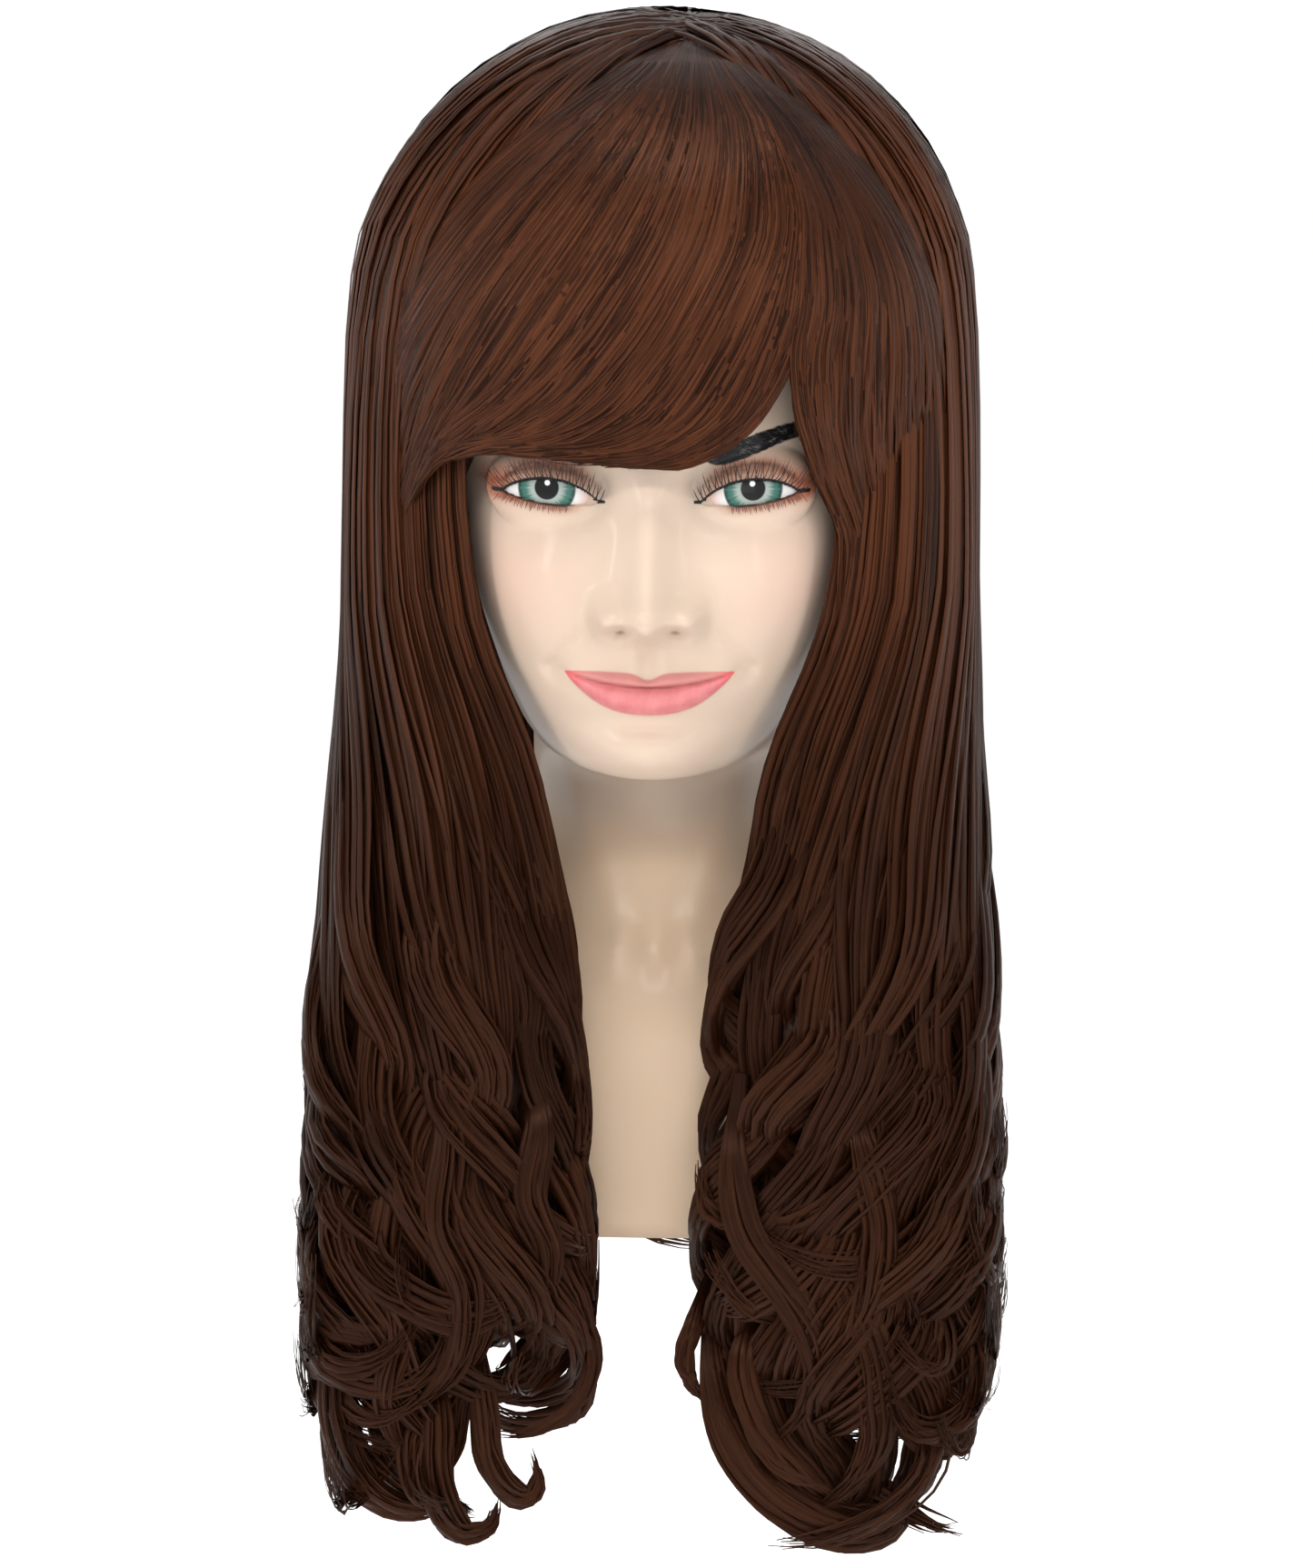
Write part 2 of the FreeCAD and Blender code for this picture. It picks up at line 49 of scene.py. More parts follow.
def curve_through(knots, values, at):
    """Smooth values at the places asked for, with no overshoot between knots (monotone cubic)."""
    knots, values = np.asarray(knots, float), np.asarray(values, float)
    if values.ndim == 2:
        return np.stack([curve_through(knots, column, at) for column in values.T], -1)
    step = np.diff(knots)
    rise = np.diff(values) / step
    slope = np.zeros(len(knots))
    together = rise[:-1] * rise[1:] > 0
    weight_a, weight_b = 2 * step[1:] + step[:-1], step[1:] + 2 * step[:-1]
    with np.errstate(divide="ignore", invalid="ignore"):
        mean = (weight_a + weight_b) / (weight_a / rise[:-1] + weight_b / rise[1:])
    slope[1:-1] = np.where(together, mean, 0.0)
    slope[0], slope[-1] = rise[0], rise[-1]
    i = np.clip(np.searchsorted(knots, at, side="right") - 1, 0, len(knots) - 2)
    t = np.clip((at - knots[i]) / step[i], 0.0, 1.0)
    a, b = values[i], values[i + 1]
    da, db = slope[i] * step[i], slope[i + 1] * step[i]
    return a + t * da + t * t * (3 * (b - a) - 2 * da - db) + t ** 3 * (da + db - 2 * (b - a))


def bump(x, z, centre, spread, turn=0.0):
    """A soft round bump, 1 at its centre."""
    dx, dz = x - centre[0], z - centre[1]
    c, s = math.cos(turn), math.sin(turn)
    along, across = dx * c + dz * s, -dx * s + dz * c
    return np.exp(-0.5 * ((along / spread[0]) ** 2 + (across / spread[1]) ** 2))


def to_line(x, z, start, end):
    """Distance from (x, z) to a straight line between two points."""
    ax, az = start
    dx, dz = end[0] - ax, end[1] - az
    t = np.clip(((x - ax) * dx + (z - az) * dz) / (dx * dx + dz * dz), 0.0, 1.0)
    return np.hypot(x - ax - t * dx, z - az - t * dz)


def new_mesh(name, points, faces):
    """A smooth object from points in millimetres and arrays of faces, each array of one kind."""
    mesh = bpy.data.meshes.new(name)
    points = np.asarray(points, np.float32) * MM
    faces = [np.asarray(f, np.int32) for f in (faces if isinstance(faces, list) else [faces])]
    mesh.vertices.add(len(points))
    mesh.vertices.foreach_set("co", points.ravel())
    mesh.loops.add(sum(f.size for f in faces))
    mesh.loops.foreach_set("vertex_index", np.concatenate([f.ravel() for f in faces]))
    corners = np.concatenate([np.full(len(f), f.shape[1], np.int32) for f in faces])
    mesh.polygons.add(len(corners))
    mesh.polygons.foreach_set("loop_start", (np.cumsum(corners) - corners).astype(np.int32))
    mesh.update(calc_edges=True)
    mesh.polygons.foreach_set("use_smooth", np.ones(len(corners), bool))
    thing = bpy.data.objects.new(name, mesh)
    bpy.context.scene.collection.objects.link(thing)
    return thing


def note(thing, name, values):
    """Stores one number a point, for the material to read."""
    layer = thing.data.attributes.new(name, "FLOAT", "POINT")
    layer.data.foreach_set("value", np.asarray(values, np.float32).ravel())


def grid_faces(rows, columns, closed=True, first=0):
    """Faces of a grid of points, row after row. A closed one joins its last column to its first."""
    row, column = np.meshgrid(
        np.arange(rows - 1), np.arange(columns if closed else columns - 1), indexing="ij"
    )
    a = row * columns + column
    b = row * columns + (column + 1) % columns
    return (np.stack([a, b, b + columns, a + columns], -1) + first).reshape(-1, 4)


def face_outwards(thing):
    """Turns every face of a closed object outwards."""
    mesh = bmesh.new()
    mesh.from_mesh(thing.data)
    bmesh.ops.recalc_face_normals(mesh, faces=mesh.faces)
    mesh.to_mesh(thing.data)
    mesh.free()


# --- Head and bust ------------------------------------------------------------------------
# Rings up the body: front z, back z, front y, back y, y of the widest place, half width, roundness.
BODY_RINGS = np.array([
    (0.0, 0.0, -62.0, 82.0, 10.0, 96.0, 2.50),
    (24.0, 24.0, -62.0, 82.0, 10.0, 96.0, 2.50),
    (48.0, 48.0, -61.5, 82.0, 10.0, 95.5, 2.50),
    (66.0, 66.0, -59.5, 80.5, 10.0, 92.0, 2.45),
    (80.0, 80.0, -55.5, 78.0, 10.0, 83.0, 2.35),
    (92.0, 92.0, -50.5, 74.0, 10.0, 69.0, 2.20),
    (104.0, 104.0, -45.0, 70.0, 11.0, 56.0, 2.10),
    (118.0, 118.0, -40.5, 66.0, 12.0, 47.0, 2.05),
    (132.0, 135.0, -37.0, 63.0, 13.0, 43.5, 2.00),
    (144.0, 152.0, -37.0, 62.0, 12.0, 42.5, 2.00),
    (151.0, 163.0, -44.0, 62.0, 9.0, 42.5, 2.00),
    (153.0, 171.0, -56.0, 64.0, 3.0, 42.5, 2.00),
    (152.5, 178.0, -68.0, 67.0, -4.0, 42.5, 2.00),
    (153.5, 184.0, -76.0, 71.0, -10.0, 43.0, 2.00),
    (158.0, 190.0, -81.0, 75.0, -14.0, 45.5, 2.02),
    (166.0, 199.0, -84.5, 80.0, -16.0, 49.0, 2.05),
    (180.0, 210.0, -87.0, 86.0, -16.0, 55.0, 2.10),
    (200.0, 224.0, -88.5, 92.0, -14.0, 61.0, 2.15),
    (222.0, 240.0, -88.5, 97.0, -10.0, 65.5, 2.18),
    (244.0, 256.0, -86.5, 100.0, -4.0, 68.5, 2.18),
    (262.0, 270.0, -84.8, 102.0, 2.0, 71.5, 2.12),
    (278.0, 281.0, -84.0, 102.0, 6.0, 73.4, 2.05),
    (290.0, 290.0, -84.0, 102.0, 9.0, 74.0, 2.00),
])
SKULL = {"centre": (0.0, 9.0, 290.0), "radii": (74.0, 93.0, 81.5)}
EYE = {"centre": (31.0, -68.0, 245.0), "radii": (21.5, 12.5, 15.0), "turn": math.radians(14)}
EYE_IN, EYE_OUT = (16.6, 241.2), (46.0, 244.2)
LID_RISE, LID_DROP = 5.4, 2.0
MOUTH_HALF = 27.0


def lid_lines(x):
    """Height of the upper and lower lids' edges, and how far along the eye x is, from 0 to 1."""
    u = (x - EYE_IN[0]) / (EYE_OUT[0] - EYE_IN[0])
    inside = np.clip(u, 0.0, 1.0)
    middle = EYE_IN[1] + (EYE_OUT[1] - EYE_IN[1]) * inside
    arch = 4.0 * inside * (1.0 - inside)
    skew = 1.0 + 0.16 * (0.5 - inside)
    return middle + LID_RISE * skew * arch ** 0.8, middle - LID_DROP * arch ** 0.9, u


def eye_opening(x, z):
    """Signed distance into the opening between the lids, in millimetres, about."""
    upper, lower, u = lid_lines(x)
    span = EYE_OUT[0] - EYE_IN[0]
    ends = np.minimum(u, 1.0 - u) * span
    inside = np.minimum(upper - z, z - lower)
    return np.where(ends < 0, np.minimum(ends, inside), inside)


def eyeball_front(x, z):
    """How far forward the eye's surface is, and whether there is any at (x, z)."""
    cx, cy, cz = EYE["centre"]
    a, b, c = EYE["radii"]
    cos, sin = math.cos(EYE["turn"]), math.sin(EYE["turn"])
    dx, dz = x - cx, z - cz
    # in the eye's own axes, p = dx cos + dy sin and q = dx sin - dy cos, the surface is
    # (p/a)^2 + (q/b)^2 + (dz/c)^2 = 1: a quadratic in dy, whose smaller root is the front
    k = 1.0 - (dz / c) ** 2
    aa = (sin / a) ** 2 + (cos / b) ** 2
    bb = 2.0 * dx * cos * sin / a ** 2 - 2.0 * dx * sin * cos / b ** 2
    cc = (dx * cos / a) ** 2 + (dx * sin / b) ** 2 - k
    disc = bb * bb - 4.0 * aa * cc
    ok = disc > 0
    dy = (-bb - np.sqrt(np.where(ok, disc, 0.0))) / (2.0 * aa)
    return -(cy + dy), ok


def mouth_lines(x):
    """Heights of the upper lip's edge, the mouth's line and the lower lip's edge."""
    t = np.clip(np.abs(x) / MOUTH_HALF, 0.0, 1.0)
    line = 184.5 + 4.0 * t ** 2.1
    upper = 189.3 - 2.3 * np.exp(-((x / 3.6) ** 2)) - 0.8 * t ** 6
    lower = 175.4 + 13.1 * t ** 2.5
    return np.maximum(upper, line), line, np.minimum(lower, line)


# The nose up its height: how far it stands out, and how wide its ridge is.
NOSE_Z = [
    188.0, 196.0, 199.5, 201.8, 204.0, 206.5, 209.5, 214.0, 220.0, 227.0, 235.0, 243.0, 250.0, 260.0
]
NOSE_OUT = [0.0, 1.2, 3.6, 8.5, 15.0, 18.6, 18.7, 16.2, 13.0, 9.8, 6.6, 3.6, 1.6, 0.0]
NOSE_WIDE = [9.0, 9.0, 9.6, 10.0, 10.2, 10.0, 9.4, 8.2, 7.4, 6.8, 6.4, 6.8, 8.5, 11.0]


def face_relief(x, z):
    """How far the features stand out of the plain head, in millimetres, on the face's front."""
    side = np.abs(x)
    out = curve_through(NOSE_Z, NOSE_OUT, z) * np.exp(
        -np.abs(x / curve_through(NOSE_Z, NOSE_WIDE, z)) ** 2.1
    )
    out += 10.0 * bump(side, z, (13.5, 206.6), (3.7, 4.6))
    out -= 1.5 * bump(side, z, (19.4, 207.5), (2.2, 5.0))
    out -= 5.5 * bump(side, z, (8.6, 202.6), (2.9, 1.5), -0.25)
    out += 6.5 * bump(x, z, (0.0, 201.6), (5.0, 2.8))
    # brow, temple and socket
    out += 2.0 * bump(side, z, (28.0, 259.5), (15.0, 5.5), -0.1)
    out += 1.8 * bump(x, z, (0.0, 261.0), (13.0, 8.0))
    out -= 5.6 * bump(side, z, (18.5, 247.0), (6.5, 7.5))
    out -= 3.2 * bump(side, z, (34.0, 246.0), (13.0, 9.5))
    # cheeks, their fold and the smile
    out += 4.2 * bump(side, z, (38.0, 214.0), (14.0, 12.0), 0.3)
    out += 2.2 * bump(side, z, (37.0, 194.0), (9.0, 10.0))
    fold = to_line(side, z, (18.5, 203.0), (31.5, 189.5))
    out -= 1.3 * np.exp(-((fold / 2.6) ** 2))
    out -= 1.4 * bump(side, z, (29.5, 187.8), (2.6, 3.0))
    # round the mouth, and the chin
    out += 3.6 * bump(x, z, (0.0, 184.0), (21.0, 13.0))
    out -= 1.3 * bump(x, z, (0.0, 194.5), (2.3, 4.2))
    out += 0.7 * bump(side, z, (4.6, 193.0), (1.7, 4.0))
    out -= 2.6 * bump(x, z, (0.0, 172.2), (15.0, 3.2))
    out += 6.6 * bump(x, z, (0.0, 161.5), (13.5, 8.0))
    # lips
    upper, line, lower = mouth_lines(x)
    thin = 1.0 - np.clip(side / MOUTH_HALF, 0, 1) ** 2.6
    s = np.clip((z - line) / np.maximum(upper - line, 0.2), 0.0, 1.0)
    out += np.where(z >= line, 2.5 * np.sin(np.pi * s ** 0.75) ** 0.9 * thin, 0.0)
    s = np.clip((line - z) / np.maximum(line - lower, 0.2), 0.0, 1.0)
    out += np.where(z < line, 3.7 * np.sin(np.pi * s ** 0.85) ** 0.8 * thin, 0.0)
    groove = np.exp(-(((z - line) / 0.75) ** 2)) * (side < MOUTH_HALF + 1)
    out -= groove * (0.35 + 0.65 * thin)
    # collar bones, the notch between them, and the muscles up the neck
    out += 2.4 * bump(side, z, (10.5, 91.0), (5.0, 4.0))
    out += 2.0 * np.exp(-((to_line(side, z, (14.0, 91.5), (64.0, 98.0)) / 4.6) ** 2))
    out -= 3.2 * bump(x, z, (0.0, 93.5), (4.6, 6.0))
    out += 1.5 * np.exp(-((to_line(side, z, (9.0, 97.0), (32.0, 150.0)) / 5.0) ** 2))
    out -= 1.2 * bump(side, z, (24.0, 84.0), (12.0, 4.0))
    return out


def with_eyes(x, z, forward):
    """Wraps the lids round the eyes and opens them."""
    side = np.abs(x)
    ball, there = eyeball_front(side, z)
    lid = np.where(there, ball + 1.25, -1e3)
    blend = 4.5
    h = np.clip(0.5 + 0.5 * (lid - forward) / blend, 0.0, 1.0)
    wrapped = forward * (1 - h) + lid * h + blend * h * (1 - h)
    wrapped = np.where(there, wrapped, forward)
    upper, lower, u = lid_lines(side)
    crease = np.exp(-(((z - upper - 4.4) / 0.9) ** 2)) * smooth(0.0, 0.25, u) * smooth(1.08, 0.8, u)
    wrapped = wrapped - 0.9 * crease
    opening = smooth(-0.35, 0.35, eye_opening(side, z))
    hollow = np.where(there, ball - 1.6, wrapped - 2.0)
    return wrapped * (1 - opening) + hollow * opening


def ring_points(rings, angles):
    """Points (row, column, xyz) on the rings. Angle 0 faces the front and grows towards +X."""
    zf, zb, yf, yb, yw, half, power = (rings[:, i, None] for i in range(7))
    across, along = np.sin(angles)[None], -np.cos(angles)[None]
    power = 2.0 / power
    x = half * np.sign(across) * np.abs(across) ** power
    depth = np.where(along > 0, yb - yw, yw - yf)
    y = yw + depth * np.sign(along) * np.abs(along) ** power
    z = zf + (zb - zf) * (y - yf) / (yb - yf)
    return np.stack([x, y, z], -1)


def head_rows(count, fine):
    """Ring settings up the body, packed closest over the face where fine is more than 1."""
    crown = np.linspace(0.0, 0.5 * math.pi, 26)[1:-1]
    (cx, cy, cz), (rx, ry, rz) = SKULL["centre"], SKULL["radii"]
    top = [
        (cz + rz * math.sin(a),) * 2 + (cy - ry * math.cos(a), cy + ry * math.cos(a), cy,
                                       rx * math.cos(a), 2.0)
        for a in crown
    ]
    rings = np.vstack([BODY_RINGS, top])
    at = np.linspace(0, len(rings) - 1, 4000)
    dense = curve_through(np.arange(len(rings)), rings, at)
    travel = np.hypot(np.diff(dense[:, 2]), np.diff(dense[:, 0]))
    travel = np.maximum(travel, 0.6 * np.abs(np.diff(dense[:, 5])))
    middle = 0.5 * (dense[1:, 0] + dense[:-1, 0])
    front = dense[1:, 2]
    wanted = 1.0 + (fine - 1.0) * smooth(150, 156, middle) * smooth(268, 258, middle)
    wanted *= np.where((middle < 165) & (front > -70), 0.5, 1.0)
    total = np.concatenate([[0], np.cumsum(travel * wanted)])
    places = np.interp(np.linspace(0, total[-1], count), total, at)
    return curve_through(np.arange(len(rings)), rings, places)


def head_columns(count, fine):
    """Angles round the body, packed closest over the face."""
    a = np.linspace(-math.pi, math.pi, 4001)
    wanted = 1.0 + (fine - 1.0) * smooth(1.15, 0.8, np.abs(a))
    total = np.concatenate([[0], np.cumsum(0.5 * (wanted[1:] + wanted[:-1]) * np.diff(a))])
    return np.interp(np.linspace(0, total[-1], count + 1)[:-1], total, a)


def make_head():
    rows, columns = ((290, 270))
    angles = head_columns(columns, 4.2)
    points = ring_points(head_rows(rows, 4.0), angles)
    x, y, z = points[..., 0], points[..., 1], points[..., 2]
    front = smooth(0.2, -14.0, y)
    relief = face_relief(x, z) * front
    forward = -y + relief
    face = (z > 225) & (z < 268) & (y < -40)
    forward = np.where(face, with_eyes(x, z, forward), forward)
    outer = np.stack([x, -forward, z], -1)
    apex = np.array([[0.0, SKULL["centre"][1], SKULL["centre"][2] + SKULL["radii"][2]]])
    # the inside wall, from the crown back down to the rim
    inner_rings = head_rows(34, 1.0)[::-1].copy()
    inner_rings[:, 2] += WALL
    inner_rings[:, 3] -= WALL
    inner_rings[:, 5] = np.maximum(inner_rings[:, 5] - WALL, 0.5)
    inner_rings[:, :2] -= WALL * smooth(290, 371, inner_rings[:, :1])
    inner_rings[-1, :2] = 0.0
    inner = ring_points(inner_rings, angles)
    everything = np.concatenate(
        [outer.reshape(-1, 3), inner.reshape(-1, 3), apex, apex - [[0, 0, WALL]]]
    )
    n_outer, n_inner = rows * columns, len(inner_rings) * columns
    faces = [grid_faces(rows, columns), grid_faces(len(inner_rings), columns, first=n_outer)]
    i = np.arange(columns)
    j = (i + 1) % columns
    rim_in, last = n_outer + n_inner - columns, (rows - 1) * columns
    faces.append(np.stack([rim_in + i, rim_in + j, j, i], -1))
    head = new_mesh("head_skin", everything, np.concatenate(faces))
    # the two crown caps are fans of triangles
    mesh = bmesh.new()
    mesh.from_mesh(head.data)
    mesh.verts.ensure_lookup_table()
    apex_out, apex_in = n_outer + n_inner, n_outer + n_inner + 1
    for a, b in zip(i, j):
        mesh.faces.new([mesh.verts[k] for k in (last + a, last + b, apex_out)])
        mesh.faces.new([mesh.verts[k] for k in (n_outer + b, n_outer + a, apex_in)])
    bmesh.ops.recalc_face_normals(mesh, faces=mesh.faces)
    for face_ in mesh.faces:
        face_.smooth = True
    mesh.to_mesh(head.data)
    mesh.free()
    paint_face(head)
    return head


def paint_face(head):
    """Notes where the make-up and the painted shade at the nostrils, on the upper lip and between
    the lips go, as distances and strengths the material turns into paint.
    """
    co = np.zeros(len(head.data.vertices) * 3)
    head.data.vertices.foreach_get("co", co)
    x, y, z = (co.reshape(-1, 3) / MM).T
    side = np.abs(x)
    outside = (y < -30) & (z > 145) & (z < 275)
    upper, line, lower = mouth_lines(x)
    lips = np.minimum(upper - z, z - lower)
    lips = np.where(side < MOUTH_HALF, lips, np.minimum(lips, MOUTH_HALF - side))
    note(head, "lips", np.where(outside, lips, -9.0))
    # the upper lip, for its painted shade
    note(head, "upper_lip", smooth(-0.8, 1.0, z - line))
    note(head, "lip_end", smooth(0.72, 1.0, side / MOUTH_HALF))
    # how far from the line where the lips meet, for the painted shade along it
    note(head, "mouth_line", np.where(outside & (side < MOUTH_HALF + 1), np.abs(z - line), 9.0))
    # brow: a tapered stroke
    arch_x, arch_z = [17.0, 24.0, 35.0, 48.0, 60.0], [254.0, 256.2, 260.2, 263.2, 261.6]
    line_z = curve_through(arch_x, arch_z, side)
    width = curve_through([17.0, 22.0, 30.0, 48.0, 60.0], [0.0, 2.7, 3.3, 2.4, 0.0], side)
    within = np.minimum(width - np.abs(z - line_z), 1.4 * np.minimum(side - 17.5, 60.0 - side))
    note(head, "brow", np.where(outside, within, -9.0))
    # eye make-up, placed from the lids' edges: up and low, and u along the eye
    up, low, u = lid_lines(side)
    over = z - up
    shadow = np.exp(-(((over - 4.0) / 5.2) ** 2)) * smooth(-0.06, 0.2, u) * smooth(1.35, 0.95, u)
    crease = np.exp(-(((over - 5.2 + 2.4 * smooth(0.75, 1.15, u)) / 1.25) ** 2))
    crease = crease * smooth(-0.15, 0.3, u) * smooth(1.42, 1.1, u)
    wing = bump(side, z, (49.5, 246.5), (5.0, 3.8), 0.5)
    under = np.exp(-(((low - z - 0.9) / 1.7) ** 2)) * smooth(0.05, 0.4, u) * smooth(1.25, 0.95, u)
    inner = bump(side, z, (15.5, 244.5), (2.6, 3.4))
    note(head, "shadow", np.where(outside, shadow, 0.0))
    note(head, "crease", np.where(outside, np.clip(crease + 0.35 * inner, 0, 1), 0.0))
    note(head, "wing", np.where(outside, np.clip(wing + 0.8 * under, 0, 1), 0.0))
    liner = np.minimum(np.abs(over - 0.35), 9.0)
    liner = liner + 3.0 * np.maximum(0, -u) + 28.0 * np.maximum(0, u - 1.12)
    note(head, "liner", np.where(outside & (u > -0.1) & (u < 1.3), liner, 9.0))
    low_line = np.abs(low - z - 0.1) + 4.0 * np.maximum(0, 0.35 - u)
    low_line = low_line + 28.0 * np.maximum(0, u - 1.02)
    note(head, "low_liner", np.where(outside, low_line, 9.0))
    # painted shade: the nostrils, shallow pits in the mesh, are coloured dark for the shade inside
    # them
    nostril = 0.62 * bump(side, z, (8.6, 202.2), (2.0, 0.95), -0.25)
    note(head, "nostril", np.where(outside, nostril, 0.0))
    blush = bump(side, z, (44.0, 216.0), (12.0, 11.0), 0.4)
    note(head, "blush", np.where(outside, blush, 0.0))


# --- Eyes, lashes and ears ----------------------------------------------------------------
IRIS = (32.2, 245.8)  # its middle, (x, z)
IRIS_EDGE, PUPIL_EDGE = 9.5, 4.1  # radii where their colours start to fade in
UPPER_LASHES, UPPER_WIDTH = 48, 0.27
LOWER_LASHES, LOWER_WIDTH = 34, 0.20
EYE_END = 45.5  # the eye's surface is looked up no farther out than this


def make_eye(side):
    rows, columns = 70, 96
    up = np.linspace(-math.pi / 2, math.pi / 2, rows)[:, None]
    round_ = np.linspace(0, 2 * math.pi, columns + 1)[None, :-1]
    a, b, c = EYE["radii"]
    p, q, r = a * np.cos(up) * np.sin(round_), -b * np.cos(up) * np.cos(round_), c * np.sin(up)
    cos, sin = math.cos(EYE["turn"]), math.sin(EYE["turn"])
    cx, cy, cz = EYE["centre"]
    # the same turn as eyeball_front: outwards with the temple
    x, y = cx + p * cos - q * sin, cy + p * sin + q * cos
    z = cz + r + 0 * p
    points = np.stack([side * x, y + 0.25, z], -1).reshape(-1, 3)
    faces = grid_faces(rows, columns)
    name, faces = ("eye_left", faces) if side > 0 else ("eye_right", faces[:, ::-1])
    eye = new_mesh(name, points, faces)
    note(eye, "iris_x", side * points[:, 0] - IRIS[0])
    note(eye, "iris_z", points[:, 2] - IRIS[1])
    return eye


def eye_material():
    n = Nodes("painted_eye")
    ix, iz = n.attribute("iris_x"), n.attribute("iris_z")
    away = n.math("SQRT", n.math("ADD", n.math("POWER", ix, 2.0), n.math("POWER", iz, 2.0)))
    angle = n.math("ARCTAN2", iz, ix)
    rays = n.math("ADD", n.math("SINE", n.math("MULTIPLY", angle, 37.0)),
                  n.math("SINE", n.math("MULTIPLY", angle, 23.0)))
    edge = n.math("ADD", away, n.math("MULTIPLY", rays, 0.22))
    colour = n.mix(n.ramp(ix, -9.0, -14.5), (0.72, 0.70, 0.68), (0.70, 0.40, 0.34))
    iris = n.mix(n.ramp(edge, 4.5, 7.0), (0.34, 0.39, 0.36), (0.045, 0.150, 0.118))
    iris = n.mix(n.ramp(edge, 7.2, 9.1), iris, (0.009, 0.042, 0.036))
    colour = n.mix(n.ramp(away, IRIS_EDGE, IRIS_EDGE - 0.7), colour, iris)
    colour = n.mix(n.ramp(away, PUPIL_EDGE, PUPIL_EDGE - 0.5), colour, (0.004, 0.004, 0.004))
    dot_x, dot_z = n.math("ADD", ix, 0.2), n.math("SUBTRACT", iz, 1.5)
    dot = n.math("SQRT", n.math("ADD", n.math("POWER", dot_x, 2.0), n.math("POWER", dot_z, 2.0)))
    colour = n.mix(n.ramp(dot, 1.0, 0.7), colour, (0.95, 0.95, 0.95))
    return n.set(
        Base_Color=colour, Roughness=0.30, Specular_IOR_Level=0.2, Coat_Weight=0.12,
        Coat_Roughness=0.08,
    ).material


def make_lashes(side):
    """A strip of long false lashes on the upper lid and short painted-looking ones below."""
    rng = np.random.default_rng(31)
    steps, paths, widths, tones = 9, [], [], []
    t = np.linspace(0, 1, steps)[:, None]
    for k in range(UPPER_LASHES):
        u = (k + 0.5) / UPPER_LASHES * 1.09 - 0.03
        x = EYE_IN[0] + (EYE_OUT[0] - EYE_IN[0]) * u
        upper, _, _ = lid_lines(np.array(x))
        ball, there = eyeball_front(np.array(x), upper)
        if not there:
            ball, _ = eyeball_front(np.array(min(x, EYE_END)), upper)
        root = np.array([x, -float(ball) - 1.4, float(upper) + 0.15])
        lean = (u - 0.42) * 1.35 + 0.28 * math.sin(k * 2.1) + rng.normal(0, 0.12)
        long = rng.uniform(7.5, 11.5) * (0.72 + 0.28 * math.sin(math.pi * min(max(u, 0), 1)))
        out = np.array([0.75 * lean + 0.10, -0.95, 0.10])
        rise = np.array([0.55 * lean, -0.30, 1.05])
        path = root + long * (out * (t - 0.45 * t ** 2) * 0.8 + rise * 0.72 * t ** 1.7)
        paths.append(path)
        widths.append(UPPER_WIDTH)
        tones.append(0.0)
    for k in range(LOWER_LASHES):
        u = 0.30 + 0.74 * (k + 0.5) / LOWER_LASHES
        x = EYE_IN[0] + (EYE_OUT[0] - EYE_IN[0]) * u
        _, lower, _ = lid_lines(np.array(x))
        ball, _ = eyeball_front(np.array(min(x, EYE_END)), lower)
        root = np.array([x, -float(ball) - 1.5, float(lower) - 0.2])
        lean = (u - 0.40) * 0.9 + rng.normal(0, 0.15)
        long = rng.uniform(1.8, 3.4)
        out, fall = np.array([0.7 * lean, -0.45, -0.25]), np.array([0.3 * lean, 0.1, -0.6])
        path = root + long * (out * t + fall * t ** 1.5)
        paths.append(path)
        widths.append(LOWER_WIDTH)
        tones.append(1.0)
    path = np.array(paths)
    path[..., 0] *= side
    name = "lashes_left" if side > 0 else "lashes_right"
    return strands_to_mesh(name, path, np.array(widths), np.array(tones), tip=0.12)


# What the skin's material reads where there is no make-up and no painted shade.
NO_PAINT = {
    "lips": -9.0, "mouth_line": 9.0, "upper_lip": 0.0, "lip_end": 0.0, "brow": -9.0, "shadow": 0.0,
    "crease": 0.0, "wing": 0.0, "liner": 9.0, "low_liner": 9.0, "nostril": 0.0, "blush": 0.0,
}


